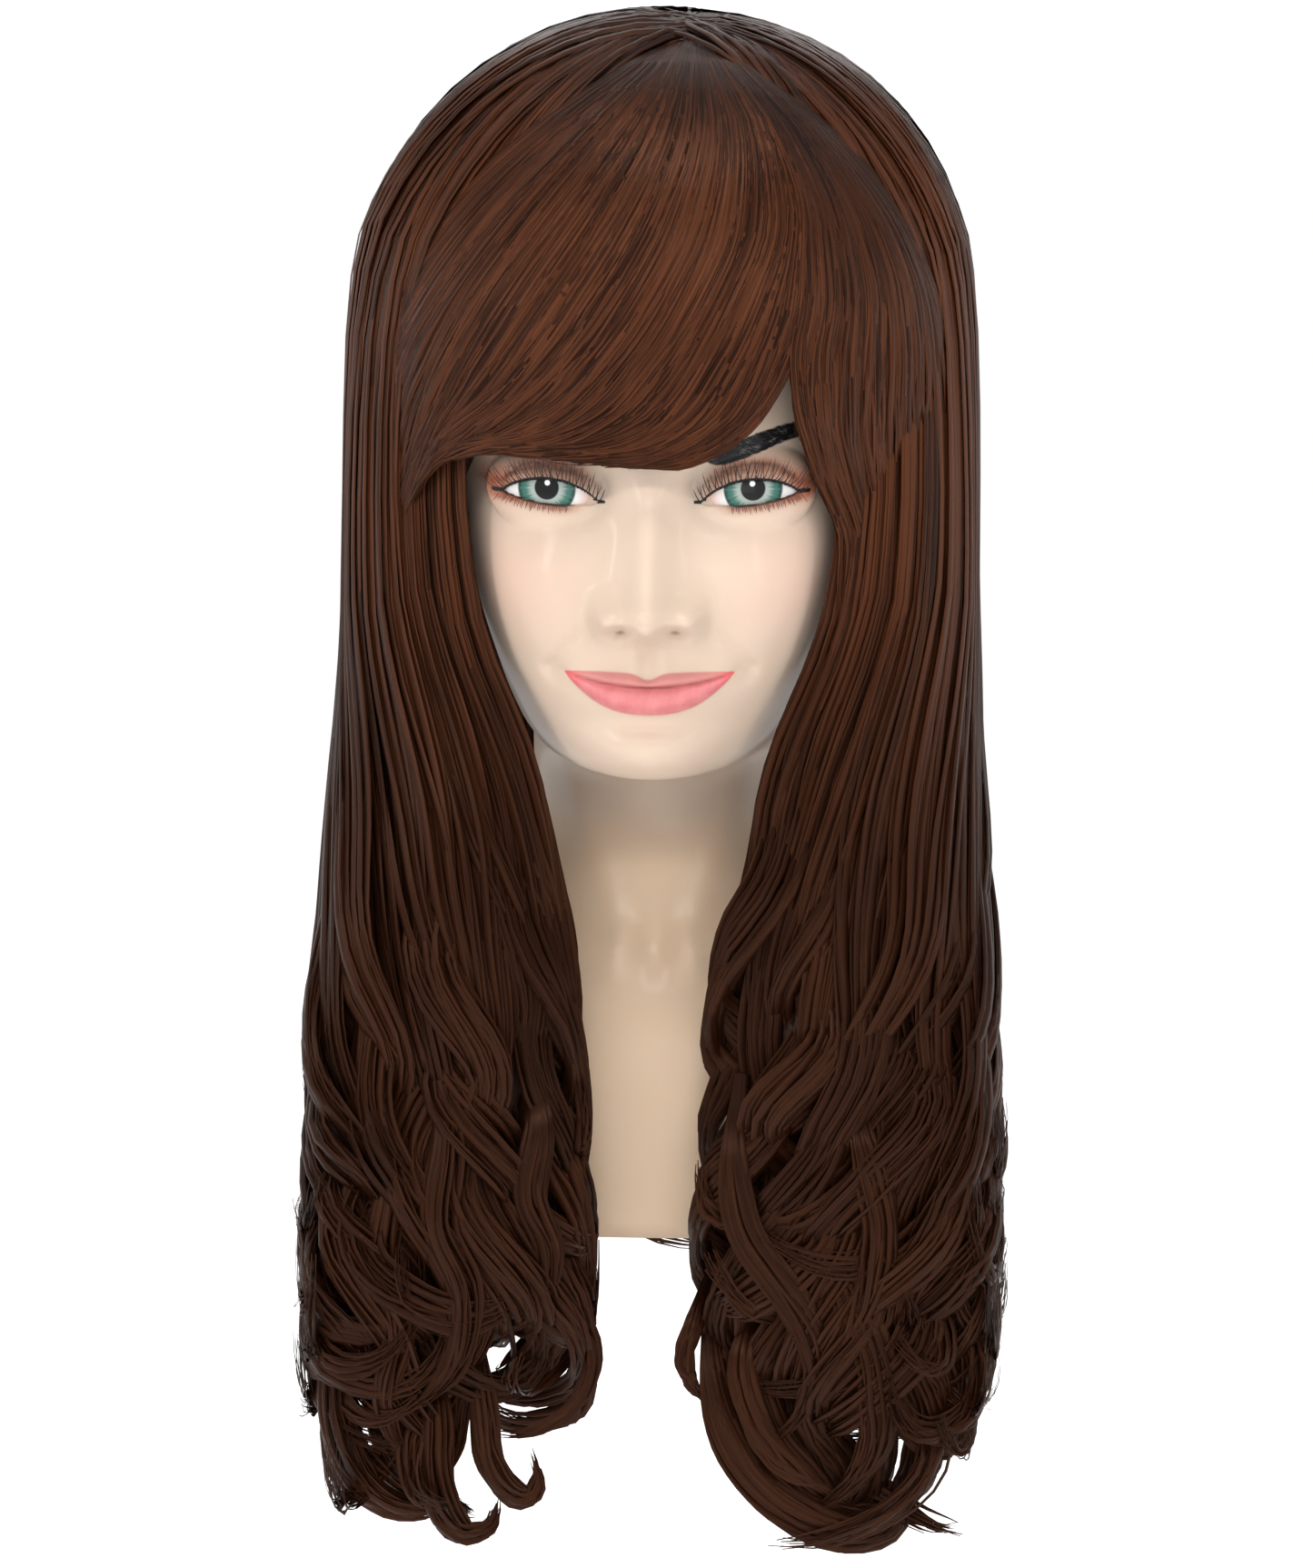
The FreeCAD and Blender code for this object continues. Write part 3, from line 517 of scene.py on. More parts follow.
def make_ear(side):
    """A moulded ear: rim, hollow, the ridge inside the rim, and lobe."""
    rows, columns = 46, 96
    u = np.linspace(0.0, 1.0, rows)[:, None]
    a = np.linspace(0, 2 * math.pi, columns + 1)[None, :-1]
    lobe = bump(np.cos(a), np.sin(a), (0.0, -1.0), (0.55, 0.5))
    y = 18.0 + 13.4 * u * np.cos(a) * (1.0 - 0.30 * lobe) - 3.5 * u * np.sin(a)
    z = 240.0 + 27.4 * u * np.sin(a)
    v, w = u * np.cos(a), u * np.sin(a)
    plate = 5.5 + 1.5 * v
    rim = 4.4 * np.exp(-(((u - 0.84) / 0.115) ** 2)) * (1.0 - 0.75 * lobe)
    rim = rim * smooth(-1.15, -0.3, np.cos(a) + 0.6 * np.sin(a))
    fold = 2.6 * np.exp(-(((np.hypot(v + 0.18, (w + 0.06) * 0.92) - 0.47) / 0.10) ** 2))
    fold = fold * smooth(-0.35, 0.2, v + 0.4 * w)
    hollow = 6.0 * bump(v, w, (-0.20, -0.18), (0.27, 0.26))
    tragus = 3.2 * bump(v, w, (-0.72, -0.22), (0.14, 0.16))
    notch = 2.2 * bump(v, w, (-0.40, -0.52), (0.12, 0.12))
    out = plate + rim + fold - hollow + tragus - notch + 1.6 * lobe * u
    out = out * np.sqrt(np.clip(1.0 - u ** 8, 0.0, 1.0))
    x = 65.2 + out
    x = np.where(v < -0.4, x - 4.5 * smooth(-0.4, -1.0, v), x)
    front = np.stack([x, y + 0 * x, z + 0 * x], -1).reshape(-1, 3)
    back_x = 62.0 + 0 * x - 2.0 * (1 - u)
    back = np.stack([np.minimum(back_x, x - 0.5), y + 0 * x, z + 0 * x], -1).reshape(-1, 3)
    faces = grid_faces(rows, columns)
    n = rows * columns
    i = np.arange(columns)
    j = (i + 1) % columns
    last = n - columns
    rim_faces = np.stack([last + i, last + j, n + last + j, n + last + i], -1)
    every = np.concatenate([faces, faces[:, ::-1] + n, rim_faces])
    points = np.concatenate([front, back])
    points[:, 0] *= side
    ear = new_mesh("ear_left" if side > 0 else "ear_right", points, every)
    mesh = bmesh.new()
    mesh.from_mesh(ear.data)
    bmesh.ops.remove_doubles(mesh, verts=mesh.verts, dist=1e-6)
    bmesh.ops.recalc_face_normals(mesh, faces=mesh.faces)
    mesh.to_mesh(ear.data)
    mesh.free()
    return ear


# --- Hair ---------------------------------------------------------------------------------
HAIR_DOME = {"centre": np.array([3.0, 11.5, 284.0]), "radii": np.array([102.5, 110.5, 108.5])}
CROWN = np.array([0.085, 0.0, 1.0])  # towards the crown's whorl, in the dome's own proportions
ROOT_SPREAD = 0.08  # how far roots lie from the whorl, in the same proportions
RIM_Z = 258.0  # where the dome's strands start to hang
BODY_CLEAR, UNDER_CLEAR = 3.0, 6.0  # how far strands and the mass under them stay off the body

# A level of hair is two lines in plan, (x, y) for the mannequin's left: its outer and its inner
# face. The front lengths' lines run from the face to behind the ear.
FRONT_LEVELS = [
    (262.0, [(62, -66), (84, -52), (100, -22), (105, 18), (103, 55)],
            [(62, -60), (73, -45), (83, -16), (86, 18), (86, 48)]),
    (240.0, [(61, -66), (84, -54), (101, -24), (105, 14), (102, 45)],
            [(60, -60), (72, -48), (82, -18), (86, 12), (86, 38)]),
    (215.0, [(58, -68), (83, -59), (101, -28), (105, 8), (102, 35)],
            [(58, -59), (71, -51), (81, -22), (86, 6), (87, 28)]),
    (190.0, [(51, -70), (78, -69), (100, -38), (106, -2), (103, 22)],
            [(51, -60), (66, -56), (79, -28), (87, -4), (89, 16)]),
    (165.0, [(40, -76), (70, -81), (98, -55), (107, -20), (105, 4)],
            [(42, -66), (60, -61), (78, -40), (90, -16), (92, 2)]),
    (140.0, [(33, -77), (63, -92), (96, -74), (108, -44), (106, -16)],
            [(36, -60), (56, -64), (80, -50), (92, -34), (97, -16)]),
    (108.0, [(27, -80), (59, -99), (94, -88), (109, -64), (107, -40)],
            [(30, -62), (54, -69), (79, -62), (93, -52), (99, -40)]),
    (70.0, [(20, -85), (56, -104), (92, -97), (110, -80), (109, -58)],
           [(23, -69), (52, -75), (79, -72), (95, -66), (102, -58)]),
    (20.0, [(17, -86), (55, -105), (92, -101), (110, -86), (109, -66)],
           [(21, -72), (52, -77), (80, -77), (96, -74), (102, -68)]),
    (-25.0, [(15, -86), (55, -106), (90, -102), (108, -88), (107, -69)],
            [(21, -74), (52, -79), (78, -79), (94, -76), (100, -70)]),
    (-60.0, [(27, -86), (56, -103), (84, -100), (98, -88), (97, -71)],
            [(33, -76), (54, -82), (74, -82), (86, -80), (90, -73)]),
    (-100.0, [(46, -87), (60, -96), (75, -95), (84, -88), (84, -78)],
             [(50, -82), (60, -86), (70, -86), (78, -84), (80, -79)]),
]
# The back's lines run from behind the ear to the middle of the back.
BACK_LEVELS = [
    (262.0, [(104, 38), (100, 72), (78, 100), (42, 118), (-4, 122)],
            [(87, 34), (80, 62), (60, 86), (32, 102), (-4, 108)]),
    (215.0, [(103, 44), (99, 76), (78, 102), (42, 118), (-4, 122)],
            [(87, 40), (80, 64), (60, 86), (32, 102), (-4, 108)]),
    (165.0, [(101, 64), (97, 88), (77, 106), (42, 118), (-4, 121)],
            [(86, 60), (79, 74), (60, 90), (32, 102), (-4, 108)]),
    (115.0, [(99, 88), (93, 104), (74, 114), (42, 119), (-4, 120)],
            [(86, 86), (78, 92), (60, 96), (32, 104), (-4, 109)]),
    (50.0, [(98, 96), (92, 110), (74, 117), (42, 120), (-4, 121)],
           [(88, 92), (78, 96), (60, 99), (32, 106), (-4, 110)]),
    (-20.0, [(94, 98), (88, 111), (71, 117), (40, 120), (-4, 121)],
            [(86, 94), (76, 98), (58, 101), (32, 107), (-4, 111)]),
    (-85.0, [(72, 100), (68, 110), (55, 114), (32, 116), (-2, 117)],
            [(68, 97), (60, 101), (48, 104), (27, 107), (-2, 111)]),
]


class Levels:
    """Looks up places between the levels' lines."""

    def __init__(self, levels):
        heights = np.array([z for z, _, _ in levels[::-1]])
        self.low, self.high = heights[0], heights[-1]
        lines = np.array([[outer, inner] for _, outer, inner in levels[::-1]], float)
        self.a_count, self.z_count = 65, 400
        fine_a = np.linspace(0, 1, self.a_count)
        knots = np.linspace(0, 1, 5)
        table = curve_through(knots, lines.transpose(2, 0, 1, 3).reshape(5, -1), fine_a)
        table = table.reshape(self.a_count, len(heights), 4).transpose(1, 0, 2)
        fine_z = np.linspace(self.low, self.high, self.z_count)
        table = curve_through(heights, table.reshape(len(heights), -1), fine_z)
        self.table = table.reshape(self.z_count, self.a_count, 2, 2)

    def at(self, a, d, z):
        """(x, y) at a along the lines and d deep, from 0 outside to 1 inside."""
        fz = np.clip((z - self.low) / (self.high - self.low), 0, 1) * (self.z_count - 1.001)
        fa = np.clip(a, 0, 1) * (self.a_count - 1.001)
        iz, ia = fz.astype(int), fa.astype(int)
        tz, ta = (fz - iz)[..., None, None], (fa - ia)[..., None, None]
        t = self.table
        low = t[iz, ia] * (1 - ta) + t[iz, ia + 1] * ta
        high = t[iz + 1, ia] * (1 - ta) + t[iz + 1, ia + 1] * ta
        both = low * (1 - tz) + high * tz
        d = d[..., None]
        return both[..., 0, :] * (1 - d) + both[..., 1, :] * d


FRONT, BACK = Levels(FRONT_LEVELS), Levels(BACK_LEVELS)


def unit(v):
    return v / np.maximum(np.linalg.norm(v, axis=-1, keepdims=True), 1e-9)


def turned(offset, tangent):
    """Turns offsets made for a strand that hangs straight down to one that runs along tangent."""
    down = np.array([0.0, 0.0, -1.0])
    cosine = tangent @ down
    axis = np.cross(np.broadcast_to(down, tangent.shape), tangent)
    k = 1.0 / np.maximum(1.0 + cosine, 0.15)
    along = np.sum(axis * offset, -1)
    return offset * cosine[..., None] + np.cross(axis, offset) + axis * (along * k)[..., None]


def over_dome(target, depth, steps, root_spread, rng):
    """Paths from the crown's whorl over the dome to targets (x, y) at the rim."""
    centre, radii = HAIR_DOME["centre"], HAIR_DOME["radii"]
    flat = (target - centre[:2]) / radii[:2]
    reach = np.linalg.norm(flat, axis=-1)
    end = np.concatenate([flat / reach[:, None], np.zeros((len(flat), 1))], -1)
    spread = rng.normal(0, root_spread, (len(flat), 2))
    start = unit(CROWN + np.concatenate([spread, np.zeros((len(flat), 1))], -1))
    angle = np.arccos(np.clip(np.sum(start * end, -1), -1, 1))
    t = np.linspace(0, 1, steps)[None]
    a, b = np.sin((1 - t) * angle[:, None]), np.sin(t * angle[:, None])
    path = a[..., None] * start[:, None] + b[..., None] * end[:, None]
    path = path / np.sin(angle)[:, None, None]
    lift = 1.0 - 0.050 * np.exp(-t / 0.10) - depth[:, None] * 0.10 * (1 - t) * t * 2.5
    swell = lift * (1 + (reach[:, None] - 1) * smooth(0.2, 1.0, t))
    return centre + path * swell[..., None] * radii


def hang(levels, guide, strand, side, span, steps):
    """Paths that hang from the rim: strands ride on their locks' guides, which wave and curl."""
    g = {key: value.copy() for key, value in guide.items()}
    count = len(g["a"])
    z = np.full(count, RIM_Z)
    drift = np.zeros((count, 2))
    step = span[:, None] * np.diff(np.linspace(0, 1, steps) ** 0.76)[None]
    gone = np.concatenate([np.zeros((count, 1)), np.cumsum(step, 1)], 1)
    places, heights = [], []
    turn = g["phase"].copy()
    for i in range(steps):
        left = span - gone[:, i]
        wave = g["tilt"] * smooth(g["wave_z"], g["wave_z"] - 110, z)
        tip = g["hook"] * smooth(85, 5, left)
        tilt = wave + tip
        middle = levels.at(g["a"], g["d"], z)
        places.append(np.stack([middle[:, 0] + drift[:, 0], middle[:, 1] + drift[:, 1], z], -1))
        if i == steps - 1:
            break
        ds = step[:, i]
        turn = turn + ds * 2 * math.pi / g["pitch"] * (1 - 0.8 * smooth(75, 35, left))
        round_the_lock = np.stack([np.cos(turn), -0.75 * np.sin(turn)], -1)
        drift = drift + (np.sin(tilt) * ds)[:, None] * round_the_lock
        drift *= (1 - ds / 150)[:, None]
        z = z - np.cos(tilt) * ds
    path = np.stack(places, 1)
    tangent = unit(np.gradient(path, axis=1))
    lock = strand["lock"]
    zz = path[lock, :, 2]
    keep = 1.0 - strand["clump"][:, None] * smooth(190, 40, zz)
    keep = keep * (1.0 - 0.72 * smooth(70, 0, span[:, None] - gone)[lock])
    a = g["a"][lock, None] + strand["da"][:, None] * keep
    d = g["d"][lock, None] + strand["dd"][:, None] * keep
    own = levels.at(np.clip(a, 0, 1), np.clip(d, -0.15, 1.1), zz)
    centre = levels.at(
        np.repeat(g["a"][lock, None], steps, 1), np.repeat(g["d"][lock, None], steps, 1), zz
    )
    offset = np.concatenate([own - centre, np.zeros(own.shape[:2] + (1,))], -1)
    path = path[lock] + turned(offset, tangent[lock])
    path = hold_in(path, side)
    path[..., 0] *= side
    return path


def eased(value, limit, room, pace):
    """Takes values past a limit back to within a little room of it."""
    return limit + room * np.tanh((value - limit) / pace)


def hold_in(path, side):
    """Keeps stray curls near the hair's outline, and off the middle of the chest."""
    x, y, z = path[..., 0].copy(), path[..., 1].copy(), path[..., 2].copy()
    x = np.where(x > 101, eased(x, 101, 11, 16), x)
    x = np.where((x > 94) & (y > 50) & (z < 150), eased(x, 94, 6, 12), x)
    y = np.where(y > 113, eased(y, 113, 11, 16), y)
    y = np.where(y < -98, eased(y, -98, 12, 18), y)
    inner = np.interp(z, [-120, -60, 0, 60, 110, 150], [32, 20, 19, 21, 26, 31])
    inner = inner + (4.0 if side < 0 else 0.0)
    x = np.where((x < inner) & (y < 20), eased(x, inner, 4, 10), x)
    return np.stack([x, y, z], -1)


def frizz(path, amount, rng, start=0.0):
    """Small smooth wandering, growing from the root."""
    count, steps = path.shape[:2]
    t = np.linspace(0, 1, steps)[None, :, None]
    out = np.zeros_like(path)
    for cycles, size in ((1.6, 1.0), (4.1, 0.5), (9.0, 0.22)):
        phase = rng.uniform(0, 2 * math.pi, (count, 1, 3))
        speed = cycles * rng.uniform(0.7, 1.3, (count, 1, 3))
        out += size * np.sin(2 * math.pi * speed * t + phase)
    return path + out * amount[:, None, None] * smooth(start, 1.0, t)


# A ribbon's section, as shares of its width: how far its ridge and its flat back stand from the
# path.
RIDGE, FLAT = 0.08, 0.04
SIDE_LEAN = 0.62  # how far the normals at a ribbon's edges lean sideways
HAIR_AXIS_Y = 5.0  # ribbons face away from the upright line through (0, this)


def tube_data(path, width, tip=0.14):
    """Points, faces and notes of one closed, three-sided, tapering ribbon for each path."""
    count, steps = path.shape[:2]
    tangent = unit(np.gradient(path, axis=1))
    level = (path - np.array([0.0, HAIR_AXIS_Y, 0.0])) * np.array([1.0, 1.0, 0.0])
    outward = unit(level + np.array([0.0, -1e-3, 0.0]))
    outward = unit(outward + np.array([0.0, 0.0, 1.2]) * smooth(300.0, 380.0, path[..., 2:]))
    across = unit(np.cross(tangent, outward))
    out = np.cross(across, tangent)
    t = np.linspace(0, 1, steps)
    taper = (0.75 + 0.25 * smooth(0, 0.12, t)) * (tip + (1 - tip) * smooth(1.0, 0.86, t))
    w = width[:, None, None] * (taper * (1.35 - 0.55 * t))[None, :, None]
    corners = np.stack([
        path - across * w * 0.5 - out * w * FLAT,
        path + across * w * 0.5 - out * w * FLAT,
        path + out * w * RIDGE,
    ], 2)
    first = (np.arange(count) * steps * 3)[:, None, None]
    ring = (np.arange(steps - 1) * 3)[None, :, None]
    corner = np.arange(3)[None, None]
    a = first + ring + corner
    b = first + ring + (corner + 1) % 3
    quads = np.stack([b, a, a + 3, b + 3], -1).reshape(-1, 4)
    ends = np.concatenate([
        first[:, 0] + np.array([[0, 1, 2]]), first[:, 0] + (steps - 1) * 3 + np.array([[2, 1, 0]])
    ])
    lengths = np.linalg.norm(np.diff(path, axis=1), axis=-1)
    run = np.concatenate([np.zeros((count, 1)), np.cumsum(lengths, 1)], 1)
    spread = np.tile(np.array([0.0, 1.0, 0.5]), count * steps) * np.repeat(width, steps * 3)
    notes = {
        "along": np.tile(np.repeat(t, 3), count), "run": np.repeat(run.ravel(), 3), "spread": spread,
    }
    # normals that lean little to the sides, so that neighbours shade as one flat lock
    left, right = unit(out - SIDE_LEAN * across), unit(out + SIDE_LEAN * across)
    here, there = slice(None, -1), slice(1, None)
    under = np.stack([-out[:, here], -out[:, here], -out[:, there], -out[:, there]], 2)
    one = np.stack([out[:, here], right[:, here], right[:, there], out[:, there]], 2)
    other = np.stack([left[:, here], out[:, here], out[:, there], left[:, there]], 2)
    notes["quad_normals"] = np.stack([under, one, other], 2).reshape(-1, 3)
    notes["end_normals"] = np.concatenate(
        [np.repeat(-tangent[:, 0], 3, 0), np.repeat(tangent[:, -1], 3, 0)]
    )
    return corners.reshape(-1, 3), quads, ends, notes


def strands_to_mesh(name, path, width, tone, tip):
    points, quads, ends, notes = tube_data(path, width, tip)
    thing = new_mesh(name, points, [quads, ends])
    note(thing, "tone", np.repeat(tone, path.shape[1] * 3))
    return thing


def cut_short(path, share):
    """Ends each path at a share of its length."""
    count, steps = path.shape[:2]
    at = np.linspace(0, 1, steps)[None] * share[:, None] * (steps - 1)
    i = np.minimum(at.astype(int), steps - 2)
    t = (at - i)[..., None]
    row = np.arange(count)[:, None]
    return path[row, i] * (1 - t) + path[row, i + 1] * t


def locks_of(count, rng, **ranges):
    """Settings of a number of locks, spread evenly along the lines and through the depth."""
    golden = 0.6180339887
    a = (np.arange(count) + rng.uniform(0.2, 0.8, count)) / count
    d = (np.arange(count) * golden + rng.uniform(0, 0.1, count)) % 1.0
    made = {"a": a, "d": d}
    for key, (low, high) in ranges.items():
        made[key] = rng.uniform(low, high, count)
    return made


def strands_of(guide, per_lock, rng, spread_a, spread_d):
    """Strands round each lock's guide."""
    count = len(guide["a"]) * per_lock
    lock = np.repeat(np.arange(len(guide["a"])), per_lock)
    angle, radius = rng.uniform(0, 2 * math.pi, count), np.sqrt(rng.uniform(0, 1, count))
    return {
        "lock": lock,
        "da": spread_a * radius * np.cos(angle), "dd": spread_d * radius * np.sin(angle),
        "clump": rng.uniform(0.42, 0.70, count),
    }


def build_length(levels, side, seed, n_locks, per_lock, wave, hang_span, share_up, width):
    """One side's hanging length: strands that come from the crown, and shorter ones under them."""
    rng = np.random.default_rng(seed)
    settings = {key: wave[key] for key in ("phase", "tilt", "pitch", "wave_z", "hook")}
    guide = locks_of(n_locks, rng, **settings)
    guide["d"] = guide["d"] ** 1.3
    # neighbours along the length wave nearly together, so that they lie in bands
    guide["phase"] = wave["phase"][0] + 2.2 * np.sin(guide["a"] * 7.0) + rng.normal(0, 0.7, n_locks)
    strand = strands_of(guide, per_lock, rng, 0.80 / math.sqrt(n_locks), 0.10)
    span = rng.uniform(*hang_span, n_locks) * (1 - 0.22 * guide["d"])
    steps = wave["steps"]
    path = hang(levels, guide, strand, side, span, steps)
    path = cut_short(path, 1.0 - 0.09 * rng.uniform(0, 1, len(path)) ** 1.5)
    lock = strand["lock"]
    depth = np.clip(guide["d"][lock] + strand["dd"], 0, 1)
    up = depth < share_up
    tone_lock = rng.normal(0.5, 0.23, n_locks)
    # tones differ at random by lock and strand; strands deeper in the length are coloured darker as
    # painted shade
    tone = np.clip(tone_lock[lock] + rng.normal(0, 0.05, len(lock)) - 0.18 * depth, 0, 1)
    widths = rng.uniform(*width, len(lock))
    pieces = []
    if up.any():
        rim = path[up][:, 0, :2]
        under = depth + 0.45 * smooth(0.52, 0.36, guide["a"][lock] + strand["da"]) * wave["tucked"]
        dome = over_dome(rim, under[up], wave["dome_steps"], ROOT_SPREAD, rng)
        whole = np.concatenate([dome[:, :-1], path[up][:, :]], 1)
        whole = ease_join(whole, wave["dome_steps"] - 1)
        pieces.append((whole, widths[up], tone[up]))
    pieces.append((path[~up], widths[~up], tone[~up]))
    return pieces, rng


def ease_join(path, at, reach=3):
    """Rounds the place where the dome's part and the hanging part of each path meet."""
    for _ in range(2):
        middle = path[:, at - reach:at + reach + 1].copy()
        smoothed = 0.25 * middle[:, :-2] + 0.5 * middle[:, 1:-1] + 0.25 * middle[:, 2:]
        path[:, at - reach + 1:at + reach] = smoothed
    return path


# Lines on the dome, (x, z). The fringe's go from the side hair to its edge at the gap.
FRINGE_PATHS = np.array([
    [(6, 384), (-42, 354), (-72, 324), (-89, 296), (-96, 270), (-99, 242), (-100, 212), (-99, 185),
     (-98, 155)],
    [(7, 384), (-28, 353), (-54, 326), (-71, 302), (-82, 282), (-89, 260), (-93, 236), (-95, 206),
     (-95, 176)],
    [(9, 384), (-14, 354), (-34, 329), (-51, 306), (-62, 287), (-70, 270), (-77, 250), (-83, 224),
     (-87, 196)],
    [(11, 384), (3, 354), (-9, 329), (-24, 305), (-36, 288), (-49, 273), (-62, 262), (-73, 247),
     (-82, 222)],
    [(13, 384), (21, 354), (17, 329), (6, 305), (-6, 287), (-21, 271), (-38, 262.5), (-56, 259.5),
     (-73, 247)],
    [(15, 384), (37, 354), (42, 329), (36, 306), (28, 287), (16, 268), (-4, 258.5), (-24, 257),
     (-47, 258.5)],
    [(16, 384), (39, 354), (48, 329), (48, 306), (44, 287), (36.5, 272), (25, 260), (9, 254.5),
     (-11, 253.5)],
], float)
# The temple lock's, on the other side of the gap, go from the gap to the side hair.
TEMPLE_PATHS = np.array([
    [(16, 384), (38, 354), (46.5, 329), (47, 306), (43.5, 288), (45.5, 271), (51, 250), (59, 228),
     (57, 206)],
    [(17, 384), (46, 352), (57, 327), (60, 304), (58, 286), (58, 268), (62, 246), (67, 224),
     (66, 200)],
    [(18, 384), (55, 350), (72, 324), (79, 301), (80, 280), (80, 260), (80, 240), (80, 218),
     (78, 192)],
    [(19, 384), (64, 348), (86, 318), (95, 293), (98.5, 270), (99, 250), (99, 230), (99, 208),
     (99, 180)],
], float)


def swept_strands(lines, count, rng, steps, packing, tuck):
    """Strands over the dome between lines in (x, z). Tucked ones lie closer to the forehead."""
    f = np.sort(rng.uniform(0.0, 1.0, count)) ** packing
    # most strands lie in the top layer, the rest in layers under it
    layer = np.maximum(0, rng.integers(-3, 5, count))
    depth = layer / 5.0 + rng.uniform(0, 0.06, count)
    t = np.linspace(0, 1, steps)
    knots = np.linspace(0, 1, lines.shape[1])
    fine = curve_through(knots, lines.transpose(1, 0, 2).reshape(len(knots), -1), t)
    fine = fine.reshape(steps, len(lines), 2).transpose(1, 0, 2)
    xz = curve_through(np.linspace(0, 1, len(lines)), fine.reshape(len(lines), -1), f)
    x, z = xz.reshape(count, steps, 2)[..., 0], xz.reshape(count, steps, 2)[..., 1]
    centre, radii = HAIR_DOME["centre"], HAIR_DOME["radii"]
    low = smooth(0.80, 1.0, f)[:, None] * tuck
    shrink = 1.0 - 0.075 * depth[:, None] * (1 - 0.8 * smooth(50, 80, -x))
    shrink = shrink - 0.05 * np.exp(-t / 0.09)[None]
    shrink = shrink + 0.012 * smooth(50, 80, -x)
    shrink = shrink - 0.022 * low * smooth(0.45, 0.8, t)[None]
    # the edge where the lines meet the side hair lies under it
    edge = smooth(0.30, 0.0, f) * tuck + smooth(0.66, 1.0, f) * (1 - tuck)
    pressed = edge * rng.uniform(0.016, 0.034, count)
    shrink = shrink - pressed[:, None] * smooth(0.0, 0.14, t)[None]
    up = np.maximum(z - centre[2], 0.0)
    flat = 1.0 - (up / (radii[2] * shrink)) ** 2 - ((x - centre[0]) / (radii[0] * shrink)) ** 2
    y = centre[1] - radii[1] * shrink * np.sqrt(np.maximum(flat, 0.0005))
    y = y + 12.0 * (1 - tuck) * smooth(285, 232, z) * smooth(98, 78, np.abs(x))
    return np.stack([x, y, z], -1), f, depth


def body_clear(path, margin):
    """Pushes points out of the head and bust, level by level, to stand at least margin outside."""
    x, y, z = path[..., 0], path[..., 1], path[..., 2]
    front = smooth(30.0, -30.0, y)
    values = []
    for i in (2, 3, 4, 5, 6):
        at_front = np.interp(z, BODY_RINGS[:, 0], BODY_RINGS[:, i])
        at_back = np.interp(z, BODY_RINGS[:, 1], BODY_RINGS[:, i])
        values.append(at_front * front + at_back * (1 - front))
    yf, yb, yw, half, power = values
    over = np.clip((z - SKULL["centre"][2]) / SKULL["radii"][2], 0.0, 1.0)
    shrink = np.sqrt(1.0 - over ** 2)
    half, yf, yb = half * shrink, yw + (yf - yw) * shrink, yw + (yb - yw) * shrink
    deep = np.where(y < yw, yw - yf, yb - yw) + margin
    value = (np.abs(x / (half + margin)) ** power + np.abs((y - yw) / deep) ** power)
    push = np.maximum(value, 1e-6) ** (-1.0 / power)
    push = np.where((value < 1.0) & (z > 0.0), np.minimum(push, 1.6), 1.0)
    return np.stack([x * push, yw + (y - yw) * push, z], -1)


# The arc that the nape hooks move along: its axis, its height, and the radius hair keeps outside.
NAPE_ARC_Y, NAPE_ARC_Z, NAPE_ROOM = 41.5, 204.0, 71.5


def nape_clear(path):
    """Pushes points behind the head out of the way of the hooks, most at the hooks' height."""
    x, y, z = path[..., 0], path[..., 1] - NAPE_ARC_Y, path[..., 2]
    radius = np.hypot(x, y)
    room = NAPE_ROOM - 14.0 * ((z - NAPE_ARC_Z) / 32.0) ** 2
    push = np.where(y > 0, np.maximum(radius, room) / radius, 1.0)
    return np.stack([x * push, NAPE_ARC_Y + y * push, z], -1)


PIECE_LIMIT = 180000  # triangles in one piece, well under what the export takes


def save_strands(name, parts, reach=1.0):
    """Makes strands into pieces. With a reach under 1 they keep the colours of nearer the root."""
    made, batch, faces, number = [], [], 0, 1
    for path, width, tone in parts:
        if not len(path):
            continue
        each = 6 * (path.shape[1] - 1) + 2
        start = 0
        while start < len(path):
            take = min(len(path) - start, max(1, (PIECE_LIMIT - faces) // each))
            some = slice(start, start + take)
            batch.append((path[some], width[some], tone[some]))
            faces += take * each
            start += take
            if faces > PIECE_LIMIT - 400:
                made.append(join_strands(f"{name}_{number}", batch, reach))
                batch, faces, number = [], 0, number + 1
    if batch:
        made.append(join_strands(f"{name}_{number}", batch, reach))
    return made


def join_strands(name, batch, reach):
    points, quads, ends, tones, notes, first = [], [], [], [], [], 0
    for path, width, tone in batch:
        p, q, e, n = tube_data(path, width)
        points.append(p)
        quads.append(q + first)
        ends.append(e + first)
        tones.append(np.repeat(tone, path.shape[1] * 3))
        notes.append(n)
        first += len(p)
    thing = new_mesh(name, np.concatenate(points), [np.concatenate(quads), np.concatenate(ends)])
    thing.data.normals_split_custom_set(np.concatenate(
        [n["quad_normals"] for n in notes] + [n["end_normals"] for n in notes]))
    note(thing, "tone", np.concatenate(tones))
    for key, scale in (("along", reach), ("run", 1.0), ("spread", 1.0)):
        note(thing, key, scale * np.concatenate([n[key] for n in notes]))
    return thing


